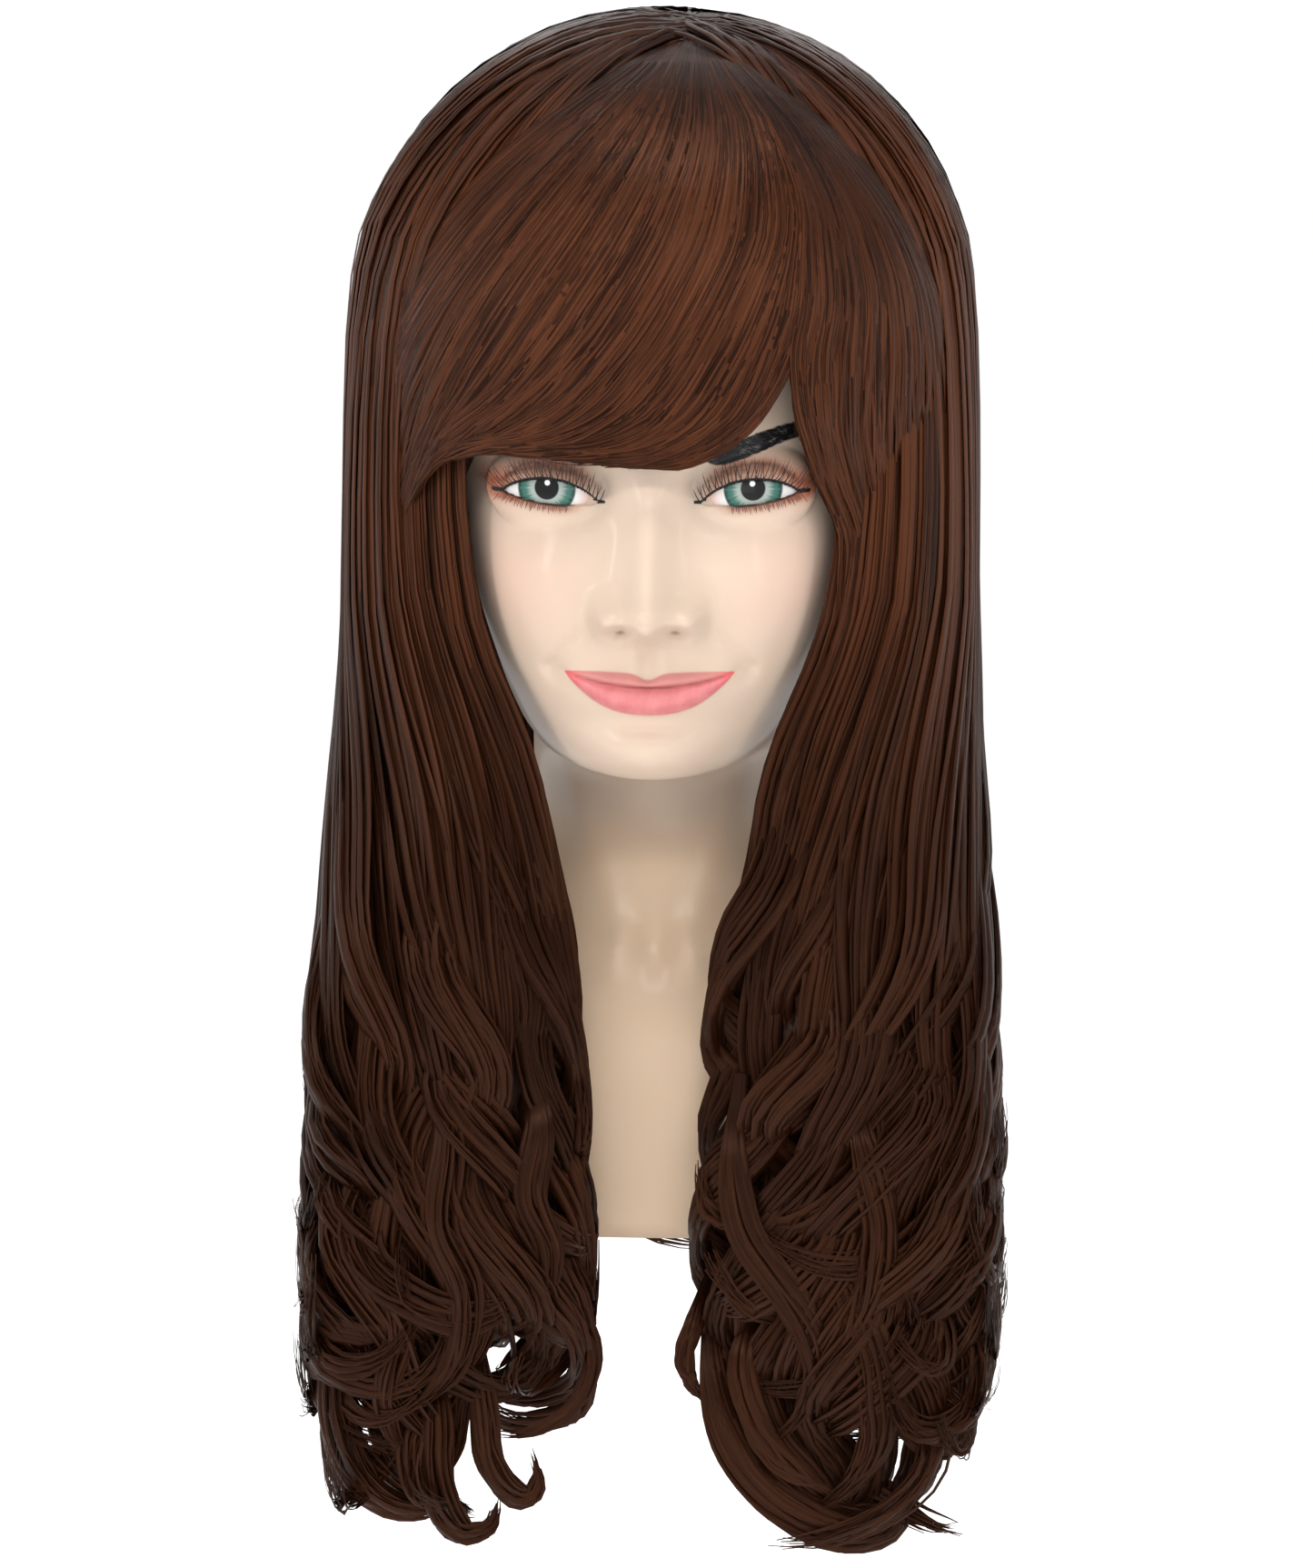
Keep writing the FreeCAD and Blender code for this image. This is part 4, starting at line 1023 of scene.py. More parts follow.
# Locks that show on their own in the curls: how thick, and the line each follows, (x, y, z).
HERO_LOCKS = {
    "right": [
        (3.0, [(-86, -84, 128), (-92, -88, 105), (-101, -88, 82), (-104, -88, 64), (-101, -88, 47),
               (-91, -88, 33)]),
        (4.5, [(-74, -92, 28), (-86, -95, 5), (-96, -94, -16), (-100, -92, -30), (-105, -90, -37),
               (-111, -88, -34)]),
        (3.0, [(-92, -90, 26), (-98, -92, 10), (-105, -92, -7), (-106, -92, -19), (-99, -92, -31),
               (-88, -92, -36)]),
        (2.4, [(-34, -92, 12), (-26, -94, -11), (-17, -95, -28), (-20, -96, -42), (-29, -97, -51),
               (-40, -97, -56), (-49, -96, -56)]),
        (6.0, [(-94, -90, -8), (-99, -93, -30), (-100, -96, -48), (-96, -98, -65), (-88, -99, -76),
               (-78, -99, -81), (-64, -98, -80)]),
        (5.0, [(-70, -98, -30), (-67, -101, -50), (-68, -102, -65), (-65, -102, -79),
               (-57, -101, -88), (-50, -99, -86), (-48, -97, -77)]),
        (4.5, [(-56, -97, -22), (-52, -99, -45), (-51, -100, -60), (-45, -100, -73),
               (-38, -99, -77), (-34, -97, -70), (-37, -95, -62)]),
        (5.0, [(-38, -96, 66), (-34, -99, 44), (-38, -101, 24), (-31, -102, 5), (-35, -101, -12),
               (-47, -99, -24)]),
        (6.5, [(-70, -98, 70), (-62, -102, 42), (-66, -105, 16), (-57, -106, -8), (-62, -105, -32),
               (-76, -103, -48)]),
        (6.0, [(-96, -92, -20), (-98, -93, -44), (-94, -94, -62), (-84, -95, -75), (-72, -95, -80),
               (-62, -94, -76)]),
        (6.0, [(-84, -90, -22), (-86, -91, -46), (-82, -92, -64), (-72, -93, -76),
               (-60, -93, -80)]),
        (5.5, [(-72, -93, -26), (-74, -94, -50), (-70, -95, -68), (-62, -95, -80),
               (-54, -94, -84)]),
        (5.0, [(-60, -92, -24), (-62, -93, -46), (-66, -94, -64), (-74, -94, -76),
               (-84, -93, -80)]),
        (6.0, [(-88, -92, 52), (-80, -98, 26), (-84, -101, 2), (-78, -103, -20), (-84, -102, -42),
               (-78, -100, -62), (-66, -98, -70)]),
    ],
    "left": [
        (3.0, [(92, -84, 92), (96, -87, 62), (100, -88, 46), (103, -88, 38), (99, -88, 30),
               (91, -88, 26)]),
        (4.5, [(86, -92, 34), (92, -93, 13), (98, -93, 1), (95, -93, -12), (87, -93, -24),
               (76, -93, -28)]),
        (4.0, [(74, -96, -24), (79, -98, -42), (87, -98, -56), (95, -97, -60), (101, -95, -55)]),
        (3.5, [(80, -94, -16), (87, -96, -30), (94, -96, -37), (94, -96, -48), (88, -96, -55),
               (80, -95, -54)]),
        (6.5, [(19, -92, -16), (21, -95, -40), (28, -98, -60), (39, -100, -74), (53, -101, -83),
               (66, -101, -88), (78, -99, -86), (84, -97, -75), (85, -95, -64)]),
        (2.6, [(19, -90, -8), (14, -92, -22), (11, -93, -31), (13, -93, -38), (19, -93, -45)]),
        (6.0, [(30, -98, 60), (28, -102, 35), (31, -105, 15), (41, -106, -1), (50, -105, -15),
               (54, -104, -31), (50, -102, -46), (40, -100, -56)]),
        (5.5, [(64, -100, 62), (70, -104, 38), (74, -105, 12), (71, -106, -4), (64, -105, -20),
               (54, -103, -32)]),
        (6.0, [(56, -101, 20), (64, -104, -6), (73, -105, -28), (74, -104, -50), (66, -102, -68),
               (54, -100, -78)]),
        (6.0, [(34, -93, -20), (36, -94, -44), (44, -95, -62), (56, -96, -75), (68, -96, -80),
               (78, -96, -76)]),
        (6.0, [(46, -90, -25), (46, -90, -48), (53, -91, -66), (64, -92, -78), (74, -92, -84)]),
        (6.0, [(58, -92, -30), (56, -92, -52), (61, -93, -70), (71, -94, -82), (80, -93, -80),
               (86, -92, -70)]),
        (5.5, [(72, -93, -30), (74, -94, -52), (72, -95, -68), (64, -95, -80), (54, -95, -86)]),
        (5.5, [(86, -92, -30), (88, -93, -50), (86, -94, -66), (78, -95, -78), (68, -95, -84)]),
        (5.0, [(28, -90, -10), (27, -90, -36), (34, -91, -56), (45, -92, -70), (56, -92, -78)]),
        (4.5, [(36, -97, -10), (30, -100, -32), (36, -102, -52), (48, -103, -66), (60, -102, -72)]),
    ],
}


def hero_locks(locks, rng, steps=28):
    """Strands of the listed locks, which twist a little and close to a point."""
    paths, tones = [], []
    t = np.linspace(0, 1, steps)
    for thick, line in locks:
        line = np.array(line, float)
        run = np.concatenate([[0], np.cumsum(np.linalg.norm(np.diff(line, axis=0), axis=1))])
        line[0, 1] += 12.0
        centre = curve_through(run / run[-1], line, t)
        for _ in range(2):
            centre[1:-1] = 0.25 * centre[:-2] + 0.5 * centre[1:-1] + 0.25 * centre[2:]
        tangent = unit(np.gradient(centre, axis=0))
        across = unit(np.cross(tangent, np.array([0.0, -1.0, 0.0])))
        out = np.cross(across, tangent)
        count = int(8 + 4.5 * thick)
        angle = rng.uniform(0, 2 * math.pi, (count, 1))
        radius = np.sqrt(rng.uniform(0, 1, (count, 1)))
        size = thick * radius * (0.30 + 0.70 * smooth(0, 0.35, t))
        size = size * (1 - 0.85 * smooth(0.6, 1.0, t))
        angle = angle + 1.1 * t
        beside, before = (size * np.cos(angle))[..., None], (0.5 * size * np.sin(angle))[..., None]
        paths.append(centre + across * beside + out * before)
        tones.append(np.clip(rng.normal(0.55, 0.14) + rng.normal(0, 0.05, count), 0, 1))
    path = frizz(np.concatenate(paths), np.full(sum(len(p) for p in paths), 0.8), rng)
    path = cut_short(path, 1.0 - 0.10 * rng.uniform(0, 1, len(path)))
    return path, rng.uniform(1.4, 2.8, len(path)), np.concatenate(tones)


def loose_strands(path, count, rng, amount):
    """Fine single hairs that stray from the strands given."""
    chosen = path[rng.integers(0, len(path), count)]
    stray = frizz(chosen, rng.uniform(0.3, 1.0, count) * amount, rng, 0.25)
    width, tone = rng.uniform(0.18, 0.30, count), rng.uniform(0.4, 0.9, count)
    return body_clear(stray, BODY_CLEAR), width, tone


# The lower edge, (x, z), of the mass under the fringe and the temple lock.
FACE_WINDOW = np.array([
    (-80, 246), (-66, 253), (-45, 256), (-10, 255.5), (12, 262), (30, 275), (42, 291), (50, 308),
    (58, 300), (66, 272), (76, 242),
], float)


def fan(rim, tip):
    """Triangles from each side of a closed rim of points to one more point."""
    return np.stack([rim, np.roll(rim, -1), 0 * rim + tip], -1)


def make_dome_core():
    """The dark mass of hair under the crown's strands: a shell from the cap out."""
    rows, columns = 60, 180
    angle = np.linspace(-math.pi, math.pi, columns + 1)[:-1]
    window = np.interp(84.0 * np.sin(angle), FACE_WINDOW[:, 0], FACE_WINDOW[:, 1]) + 5.0
    ahead = smooth(0.55, 0.78, np.cos(angle))
    low = 232.0 * (1 - ahead) + window * ahead
    middle = HAIR_DOME["centre"]
    walls = []
    for centre, radii in (
        (middle, HAIR_DOME["radii"] * 0.935),
        (np.array(SKULL["centre"]), np.array(SKULL["radii"]) + UNDER_CLEAR),
    ):
        t = np.linspace(0.02, 1.0, rows)[:, None]
        z = low + (centre[2] + radii[2] - low) * np.cos(t * math.pi / 2)
        over = np.clip((z - centre[2]) / radii[2], 0.0, 0.9999)
        ring = np.sqrt(1.0 - over ** 2)
        x = centre[0] + radii[0] * ring * np.sin(angle)
        y = centre[1] - radii[1] * ring * np.cos(angle)
        walls.append(np.stack([x, y, z], -1))
    outer, inner = body_clear(walls[0], UNDER_CLEAR + 0.6), walls[1]
    # the inner wall never passes the outer one
    deep = np.sum((outer - inner) * (outer - middle), -1, keepdims=True)
    inner = np.where(deep < 0.3, outer - 0.4 * unit(outer - middle), inner)
    n = rows * columns
    points = np.concatenate(
        [outer.reshape(-1, 3), inner.reshape(-1, 3), outer[0].mean(0)[None], inner[0].mean(0)[None]]
    )
    i = np.arange(columns)
    j = (i + 1) % columns
    outside, inside = n - columns, 2 * n - columns
    low_edge = np.stack([outside + i, outside + j, inside + j, inside + i], -1)
    wall = grid_faces(rows, columns)
    quads = np.concatenate([wall, wall[:, ::-1] + n, low_edge])
    core = new_mesh(
        "hair_under_crown", points,
        [quads, np.concatenate([fan(i, 2 * n)[:, [1, 0, 2]], fan(n + i, 2 * n + 1)])],
    )
    face_outwards(core)
    return core


def make_length_core(name, levels, side, top, bottom, thick):
    """The dark mass inside a hanging length, which thins towards the curls."""
    rows, columns = 46, 56
    z = np.linspace(top, bottom, rows)[:, None]
    turn = np.linspace(0, 2 * math.pi, columns + 1)[None, :-1]
    shrink = smooth(bottom - 8.0, bottom + 90.0, z)
    a = 0.5 + 0.44 * np.cos(turn) * (0.35 + 0.65 * shrink)
    d = 0.48 + thick * np.sin(turn) * (0.15 + 0.85 * shrink)
    xy = levels.at(a + 0 * z, d + 0 * z, z + 0 * a)
    path = np.concatenate([xy, (z + 0 * a)[..., None]], -1)
    path = body_clear(path, UNDER_CLEAR)
    path[..., 0] *= side
    n = rows * columns
    points = np.concatenate([path.reshape(-1, 3), path[0].mean(0)[None], path[-1].mean(0)[None]])
    i = np.arange(columns)
    ends = np.concatenate([fan(i, n), fan(n - columns + i, n + 1)[:, [1, 0, 2]]])
    core = new_mesh(name, points, [grid_faces(rows, columns), ends])
    face_outwards(core)
    return core


# --- Materials ----------------------------------------------------------------------------
class Nodes:
    """A short way to write a material's nodes."""

    def __init__(self, name):
        self.material = bpy.data.materials.new(name)
        self.material.use_nodes = True
        self.tree = self.material.node_tree
        self.shader = self.tree.nodes["Principled BSDF"]
        self.where = self.add("ShaderNodeTexCoord").outputs["Object"]

    def add(self, kind, **settings):
        node = self.tree.nodes.new(kind)
        for key, value in settings.items():
            setattr(node, key, value)
        return node

    def plug(self, value, socket):
        if isinstance(value, bpy.types.NodeSocket):
            self.tree.links.new(value, socket)
        else:
            socket.default_value = value

    def math(self, operation, a, b=0.0, clamp=False):
        node = self.add("ShaderNodeMath", operation=operation, use_clamp=clamp)
        for value, socket in zip((a, b), node.inputs):
            self.plug(value, socket)
        return node.outputs[0]

    def attribute(self, name):
        return self.add("ShaderNodeAttribute", attribute_name=name).outputs["Fac"]

    def ramp(self, value, low, high, out_low=0.0, out_high=1.0):
        node = self.add("ShaderNodeMapRange", interpolation_type="SMOOTHSTEP")
        for item, socket in zip((value, low, high, out_low, out_high), node.inputs):
            self.plug(item, socket)
        return node.outputs[0]

    def noise(self, scale, detail=3.0, rough=0.55, stretch=None, at=None):
        spot = at or self.where
        if stretch:
            mapping = self.add("ShaderNodeMapping")
            mapping.inputs["Scale"].default_value = stretch
            self.plug(spot, mapping.inputs["Vector"])
            spot = mapping.outputs[0]
        node = self.add("ShaderNodeTexNoise")
        self.plug(spot, node.inputs["Vector"])
        node.inputs["Scale"].default_value = scale
        node.inputs["Detail"].default_value = detail
        node.inputs["Roughness"].default_value = rough
        return node.outputs["Fac"]

    def height(self):
        """How high the place is, in metres."""
        node = self.add("ShaderNodeSeparateXYZ")
        self.plug(self.where, node.inputs[0])
        return node.outputs[2]

    def mix(self, factor, a, b):
        node = self.add("ShaderNodeMix", data_type="RGBA")
        self.plug(factor, node.inputs["Factor"])
        for value, socket in ((a, node.inputs[6]), (b, node.inputs[7])):
            self.plug(value if isinstance(value, bpy.types.NodeSocket) else (*value, 1.0), socket)
        return node.outputs[2]

    def bump(self, height, distance, strength=1.0):
        node = self.add("ShaderNodeBump")
        node.inputs["Distance"].default_value = distance
        node.inputs["Strength"].default_value = strength
        self.plug(height, node.inputs["Height"])
        self.tree.links.new(node.outputs[0], self.shader.inputs["Normal"])

    def set(self, **sockets):
        for key, value in sockets.items():
            socket = self.shader.inputs[key.replace("_", " ")]
            if isinstance(value, tuple) and len(value) == 3 and socket.type == "RGBA":
                value = (*value, 1.0)
            self.plug(value, socket)
        return self


def skin_material():
    n = Nodes("moulded_skin")
    tone = n.ramp(n.noise(14.0, 2.0), 0.35, 0.68)
    colour = n.mix(tone, (0.598, 0.462, 0.362), (0.652, 0.510, 0.405))
    speck = n.ramp(n.noise(90.0, 4.0, 0.7), 0.62, 0.80)
    colour = n.mix(n.math("MULTIPLY", speck, 0.22), colour, (0.72, 0.47, 0.30))
    colour = n.mix(n.math("MULTIPLY", n.attribute("blush"), 0.22), colour, (0.86, 0.46, 0.36))
    # the neck and chest are a warmer shade than the face
    below = n.math("MULTIPLY", n.ramp(n.height(), 0.142, 0.118), 0.85)
    colour = n.mix(below, colour, (0.745, 0.548, 0.380))
    # eye make-up
    grain = n.ramp(n.noise(900.0, 2.0), 0.2, 0.8, 0.75, 1.1)
    shadow = n.math("MULTIPLY", n.attribute("shadow"), n.math("MULTIPLY", grain, 0.82))
    colour = n.mix(shadow, colour, (0.42, 0.175, 0.105))
    crease = n.math("MULTIPLY", n.attribute("crease"), n.math("MULTIPLY", grain, 0.9))
    colour = n.mix(crease, colour, (0.115, 0.034, 0.020))
    wing = n.math("MULTIPLY", n.attribute("wing"), n.math("MULTIPLY", grain, 0.95), clamp=True)
    colour = n.mix(wing, colour, (0.30, 0.075, 0.032))
    # lips
    lips = n.attribute("lips")
    satin = n.ramp(n.noise(160.0, 2.0, stretch=(1.6, 1.0, 0.8)), 0.3, 0.75)
    lip_colour = n.mix(satin, (0.62, 0.190, 0.198), (0.69, 0.240, 0.246))
    # painted shade: the upper lip, which faces down, is coloured darker than the lower
    upper = n.math("MULTIPLY", n.attribute("upper_lip"), 0.8)
    lip_colour = n.mix(upper, lip_colour, (0.53, 0.230, 0.200))
    lip_colour = n.mix(n.attribute("lip_end"), lip_colour, (0.72, 0.125, 0.135))
    # painted shade: the lips are coloured darker along the line between them, for the shade in that
    # groove
    inner = n.ramp(n.attribute("mouth_line"), 0.9, 0.1)
    lip_colour = n.mix(n.math("MULTIPLY", inner, 0.28), lip_colour, (0.50, 0.10, 0.09))
    painted = n.ramp(lips, -0.25, 0.35)
    colour = n.mix(painted, colour, lip_colour)
    # brow, liner and nostrils
    strokes = n.ramp(n.noise(420.0, 3.0, stretch=(0.6, 1.0, 2.4)), 0.38, 0.62, -0.14, 0.14)
    brow = n.ramp(n.math("ADD", n.attribute("brow"), strokes), -0.2, 0.5)
    gaps = n.noise(560.0, 4.0, 0.8, stretch=(0.5, 1.0, 1.6))
    dry = n.math("MULTIPLY", n.ramp(gaps, 0.52, 0.70), 0.55)
    colour = n.mix(brow, colour, n.mix(dry, (0.010, 0.009, 0.010), (0.27, 0.25, 0.235)))
    wobble = n.math("MULTIPLY", n.noise(330.0, 2.0), 0.5)
    liner = n.ramp(n.math("ADD", n.attribute("liner"), wobble), 1.15, 0.75)
    colour = n.mix(liner, colour, (0.010, 0.008, 0.008))
    low = n.ramp(n.math("ADD", n.attribute("low_liner"), wobble), 0.95, 0.45)
    colour = n.mix(n.math("MULTIPLY", low, 0.9), colour, (0.035, 0.014, 0.011))
    # painted shade: the nostrils are coloured dark for the shade inside them
    nostril = n.math("MULTIPLY", n.attribute("nostril"), 0.92)
    colour = n.mix(n.ramp(nostril, 0.25, 0.8), colour, (0.10, 0.055, 0.028))
    gloss = n.ramp(n.noise(60.0, 3.0), 0.3, 0.7, 0.38, 0.46)
    rough = n.math("ADD", gloss, n.math("MULTIPLY", n.math("MAXIMUM", painted, shadow), 0.14))
    n.bump(n.noise(700.0, 2.0), 0.00006, 0.5)
    return n.set(
        Base_Color=colour, Roughness=rough, IOR=1.46, Subsurface_Weight=0.12,
        Subsurface_Radius=(0.0035, 0.0016, 0.0008), Subsurface_Scale=1.0, Coat_Weight=0.26,
        Coat_Roughness=0.15, Specular_IOR_Level=0.15, Coat_IOR=1.4,
    ).material




def hair_material():
    n = Nodes("wig_hair")
    tone, along = n.attribute("tone"), n.attribute("along")
    # fibres side by side across each ribbon, other ones for each tone
    across = n.math("ADD", n.attribute("spread"), n.math("MULTIPLY", tone, 613.0))
    place = n.add("ShaderNodeCombineXYZ")
    n.plug(n.math("MULTIPLY", across, 1.35), place.inputs[0])
    n.plug(n.math("MULTIPLY", n.attribute("run"), 0.011), place.inputs[1])
    fibre = n.noise(1.0, 4.0, 0.72, at=place.outputs[0])
    patch = n.ramp(n.noise(38.0, 3.0, stretch=(1.0, 1.0, 0.25)), 0.3, 0.7, -0.12, 0.12)
    streaks = n.math("ADD", patch, n.ramp(fibre, 0.28, 0.72, -0.62, 0.60))
    tone = n.math("ADD", tone, streaks, clamp=True)
    colour = n.mix(n.ramp(tone, 0.05, 0.95), (0.0036, 0.0011, 0.0007), (0.072, 0.0222, 0.0090))
    colour = n.mix(n.ramp(along, 0.16, 0.0, 0.0, 0.7), colour, (0.0095, 0.0050, 0.0043))
    # painted shade: the hair is coloured darker lower down, for the light that falls off down the
    # lengths and curls
    lower = n.ramp(n.height(), 0.260, 0.110, 0.0, 0.76)
    colour = n.mix(lower, colour, (0.0098, 0.0031, 0.0013))
    n.bump(fibre, 0.00022, 0.6)
    return n.set(
        Base_Color=colour, Roughness=n.ramp(fibre, 0.2, 0.8, 0.42, 0.30), IOR=1.5,
        Specular_IOR_Level=0.19, Specular_Tint=(1.0, 0.50, 0.34), Anisotropic=0.75,
    ).material


def streaked_material(name, noise, span, colours, bump, **sockets):
    """Runs between two colours with a stretched noise, which also raises the surface."""
    n = Nodes(name)
    streak = n.noise(*noise)
    n.bump(streak, *bump)
    return n.set(Base_Color=n.mix(n.ramp(streak, *span), *colours), **sockets).material


def under_hair_material(name, *colours):
    noise = (700.0, 3.0, 0.6, (1.0, 1.0, 0.05))
    return streaked_material(name, noise, (0.3, 0.7), colours, (0.0009, 0.8), Roughness=0.62,
                             Specular_IOR_Level=0.2)


def board_material():
    noise, colours = (420.0, 4.0, 0.7, (1.0, 0.35, 1.0)), ((0.30, 0.19, 0.11), (0.47, 0.32, 0.20))
    return streaked_material("base_board", noise, (0.3, 0.7), colours, (0.0003, 0.5),
                             Roughness=0.72)


def wood_material():
    noise, colours = (120.0, 4.0, 0.6, (0.12, 1.0, 1.0)), ((0.52, 0.34, 0.19), (0.70, 0.51, 0.31))
    return streaked_material("block_wood", noise, (0.35, 0.65), colours, (0.0003, 0.5),
                             Roughness=0.6)


def tape_material(name, colour):
    noise, colours = (1500.0, 2.0, 0.6, (1.0, 1.0, 3.0)), (colour, tuple(c * 1.8 for c in colour))
    return streaked_material(name, noise, (0.3, 0.7), colours, (0.0002, 0.7), Roughness=0.8,
                             Sheen_Weight=0.2)


def lash_material():
    n = Nodes("lash_fibre")
    colour = n.mix(n.attribute("tone"), (0.006, 0.005, 0.005), (0.055, 0.020, 0.014))
    return n.set(Base_Color=colour, Roughness=0.45).material


def plastic_material(name, colour, rough):
    n = Nodes(name)
    cloud = n.noise(60.0, 3.0)
    shade = n.mix(n.ramp(cloud, 0.3, 0.7), colour, tuple(c * 1.5 for c in colour))
    n.bump(n.noise(1500.0, 2.0), 0.00005, 0.5)
    rough = n.ramp(cloud, 0.3, 0.7, rough, rough + 0.12)
    return n.set(Base_Color=shade, Roughness=rough).material


def screw_material():
    n = Nodes("zinc_screw")
    cloud = n.noise(300.0, 3.0)
    shade = n.mix(n.ramp(cloud, 0.3, 0.7), (0.50, 0.50, 0.47), (0.68, 0.67, 0.62))
    n.bump(n.noise(2000.0, 2.0), 0.00004, 0.5)
    rough = n.ramp(cloud, 0.3, 0.7, 0.26, 0.42)
    return n.set(Base_Color=shade, Metallic=1.0, Roughness=rough).material


def parting_material():
    n = Nodes("parting_mesh")
    spot = n.ramp(n.noise(900.0, 2.0), 0.35, 0.65)
    shade = n.mix(spot, (0.20, 0.125, 0.09), (0.36, 0.24, 0.17))
    n.bump(spot, 0.0001, 0.6)
    return n.set(Base_Color=shade, Roughness=0.7).material


def elastic_material():
    n = Nodes("strap_elastic")
    wave = n.add("ShaderNodeTexWave", wave_type="BANDS", bands_direction="Z")
    n.plug(n.where, wave.inputs["Vector"])
    wave.inputs["Scale"].default_value = 260.0
    wave.inputs["Distortion"].default_value = 0.4
    cord = wave.outputs["Fac"]
    shade = n.mix(cord, (0.012, 0.009, 0.008), (0.05, 0.036, 0.03))
    n.bump(cord, 0.0003, 0.8)
    return n.set(Base_Color=shade, Roughness=0.75).material


def net_material(name, colour, mesh_size):
    """Knitted net: a cell pattern of threads with darker holes between them."""
    n = Nodes(name)
    cells = n.add("ShaderNodeTexVoronoi", feature="DISTANCE_TO_EDGE")
    n.plug(n.where, cells.inputs["Vector"])
    cells.inputs["Scale"].default_value = 1.0 / mesh_size
    cells.inputs["Randomness"].default_value = 0.25
    thread = n.ramp(cells.outputs["Distance"], 0.16, 0.06)
    thin = tuple(c * 0.35 for c in colour)
    shade = n.mix(thread, thin, colour)
    n.bump(thread, 0.0004, 0.8)
    return n.set(Base_Color=shade, Roughness=0.75, Sheen_Weight=0.2).material


# --- Making the hair ----------------------------------------------------------------------
SHARE = 1.0  # of the strands
# How hanging locks wave: where each starts in its turn, how far it leans, the length of a turn,
# the height its waves begin at and how far its end hooks. Steps are the points along a strand.
FRONT_WAVE = {
    "phase": (0.0, 6.3), "tilt": (0.52, 0.92), "pitch": (90.0, 130.0), "wave_z": (110.0, 190.0),
    "hook": (0.8, 2.4), "steps": 42, "dome_steps": 15, "tucked": 1.0,
}
BACK_WAVE = {
    "phase": (2.0, 6.3), "tilt": (0.42, 0.74), "pitch": (90.0, 130.0), "wave_z": (100.0, 180.0),
    "hook": (0.5, 2.0), "steps": 33, "dome_steps": 14, "tucked": 0.0,
}
# Levels, seed, locks, strands in a lock, wave, how long they hang, the share that comes from the
# crown, widths, how far strands wander, and how many loose strands there are.
LENGTHS = {
    "front": (FRONT, 11, 70, 26, FRONT_WAVE, (360, 440), 0.60, (1.7, 3.4), 1.6, 90),
    "back": (BACK, 31, 52, 23, BACK_WAVE, (330, 382), 0.65, (1.8, 3.5), 1.5, 50),
}
# Levels and the height of the lower end.
CORES = {"front": (FRONT, 0.0), "back": (BACK, 2.0)}
CORE_THICK = 0.20  # half its depth, as a share of the length's depth
# Lines, strands, packing, tuck, and how much of the colours along a strand it shows.
SWEPT = {
    "hair_fringe": (FRINGE_PATHS, 1000, 0.8, 1.0, 1.0),
    "hair_temple_left": (TEMPLE_PATHS, 420, 1.0, 0.0, 0.3),
}


def dress(things, material, body, slot, *nodes):
    for thing in things:
        thing.data.materials.append(material)
        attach(thing, body)
        if nodes:
            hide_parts(*nodes)


def hair_parts(place, side, word):
    """The strands of one of the four lengths."""
    levels, seed, locks, per_lock, wave, span, share_up, widths, wander, loose = LENGTHS[place]
    locks = int(locks * SHARE)
    parts, rng = build_length(
        levels, side, seed + side, locks, per_lock, wave, span, share_up, widths
    )
    parts = [
        (body_clear(frizz(p, np.full(len(p), wander), rng, 0.15), BODY_CLEAR), w, t)
        for p, w, t in parts
    ]
    parts.append(loose_strands(parts[0][0], int(loose * SHARE), rng, 3.5))
    if place == "front":
        return parts + [hero_locks(HERO_LOCKS[word], rng)]
    return [(nape_clear(p), w, t) for p, w, t in parts]


hair = hair_material()
under = under_hair_material("wig_hair_under", (0.010, 0.0036, 0.0020), (0.034, 0.0118, 0.0062))
under_crown = under_hair_material(
    "wig_hair_crown", (0.012, 0.0045, 0.0028), (0.036, 0.0128, 0.0075)
)
for side, word in ((-1, "right"), (1, "left")):
    stands_for = {
        "front": [f"hair_front_length_{word}", f"hair_curl_length_{word}", f"hair_crown_{word}"],
        "back": [f"hair_back_length_{word}", "hair_crown_back"],
    }
    for place, nodes in stands_for.items():
        things = save_strands(f"hair_{place}_{word}", hair_parts(place, side, word))
        dress(things, hair, "wig", "hair_fibre", *nodes)
    for place, (levels, low_end) in CORES.items():
        name = f"hair_under_{place}_{word}"
        core = make_length_core(name, levels, side, RIM_Z, low_end, CORE_THICK)
        dress([core], under, "wig", "hair_fibre", f"hair_{place}_length_{word}")
dress([make_dome_core()], under_crown, "wig", "hair_fibre", "hair_crown_back")

rng = np.random.default_rng(5)
for name, (lines, count, packing, tuck, reach) in SWEPT.items():
    path, f, depth = swept_strands(lines, int(count * SHARE), rng, 30, packing, tuck)
    path = body_clear(frizz(path, np.full(len(path), 0.7), rng), BODY_CLEAR + 0.4)
    path = cut_short(path, 1.0 - 0.12 * rng.uniform(0, 1, len(path)))
    bands = 0.10 * np.sin(f * 23.0) * np.sin(f * 61.0)
    # tones vary in bands and at random; strands in the lower layers are coloured darker as painted
    # shade
    tone = np.clip(0.52 + bands + rng.normal(0, 0.05, len(path)) - 0.12 * depth, 0, 1)
    parts = [(path, rng.uniform(1.5, 3.0, len(path)), tone)]
    parts.append(loose_strands(path, int(count * 0.10), rng, 2.6))
    dress(save_strands(name, parts, reach), hair, "wig", "hair_fibre", name)

# --- Making the mannequin -----------------------------------------------------------------
skin = skin_material()
dress([make_head()], skin, "mannequin", "skin_pvc", "head_shell")
ears = [make_ear(-1), make_ear(1)]
for ear in ears:
    for key, value in NO_PAINT.items():
        note(ear, key, np.full(len(ear.data.vertices), value))
dress(ears, skin, "mannequin", "skin_pvc", "head_shell")
dress([make_eye(-1), make_eye(1)], eye_material(), "mannequin", "skin_pvc", "head_shell")
lash = lash_material()
dress([make_lashes(-1)], lash, "mannequin", "lash_fibre", "eyelash_right")
dress([make_lashes(1)], lash, "mannequin", "lash_fibre", "eyelash_left")

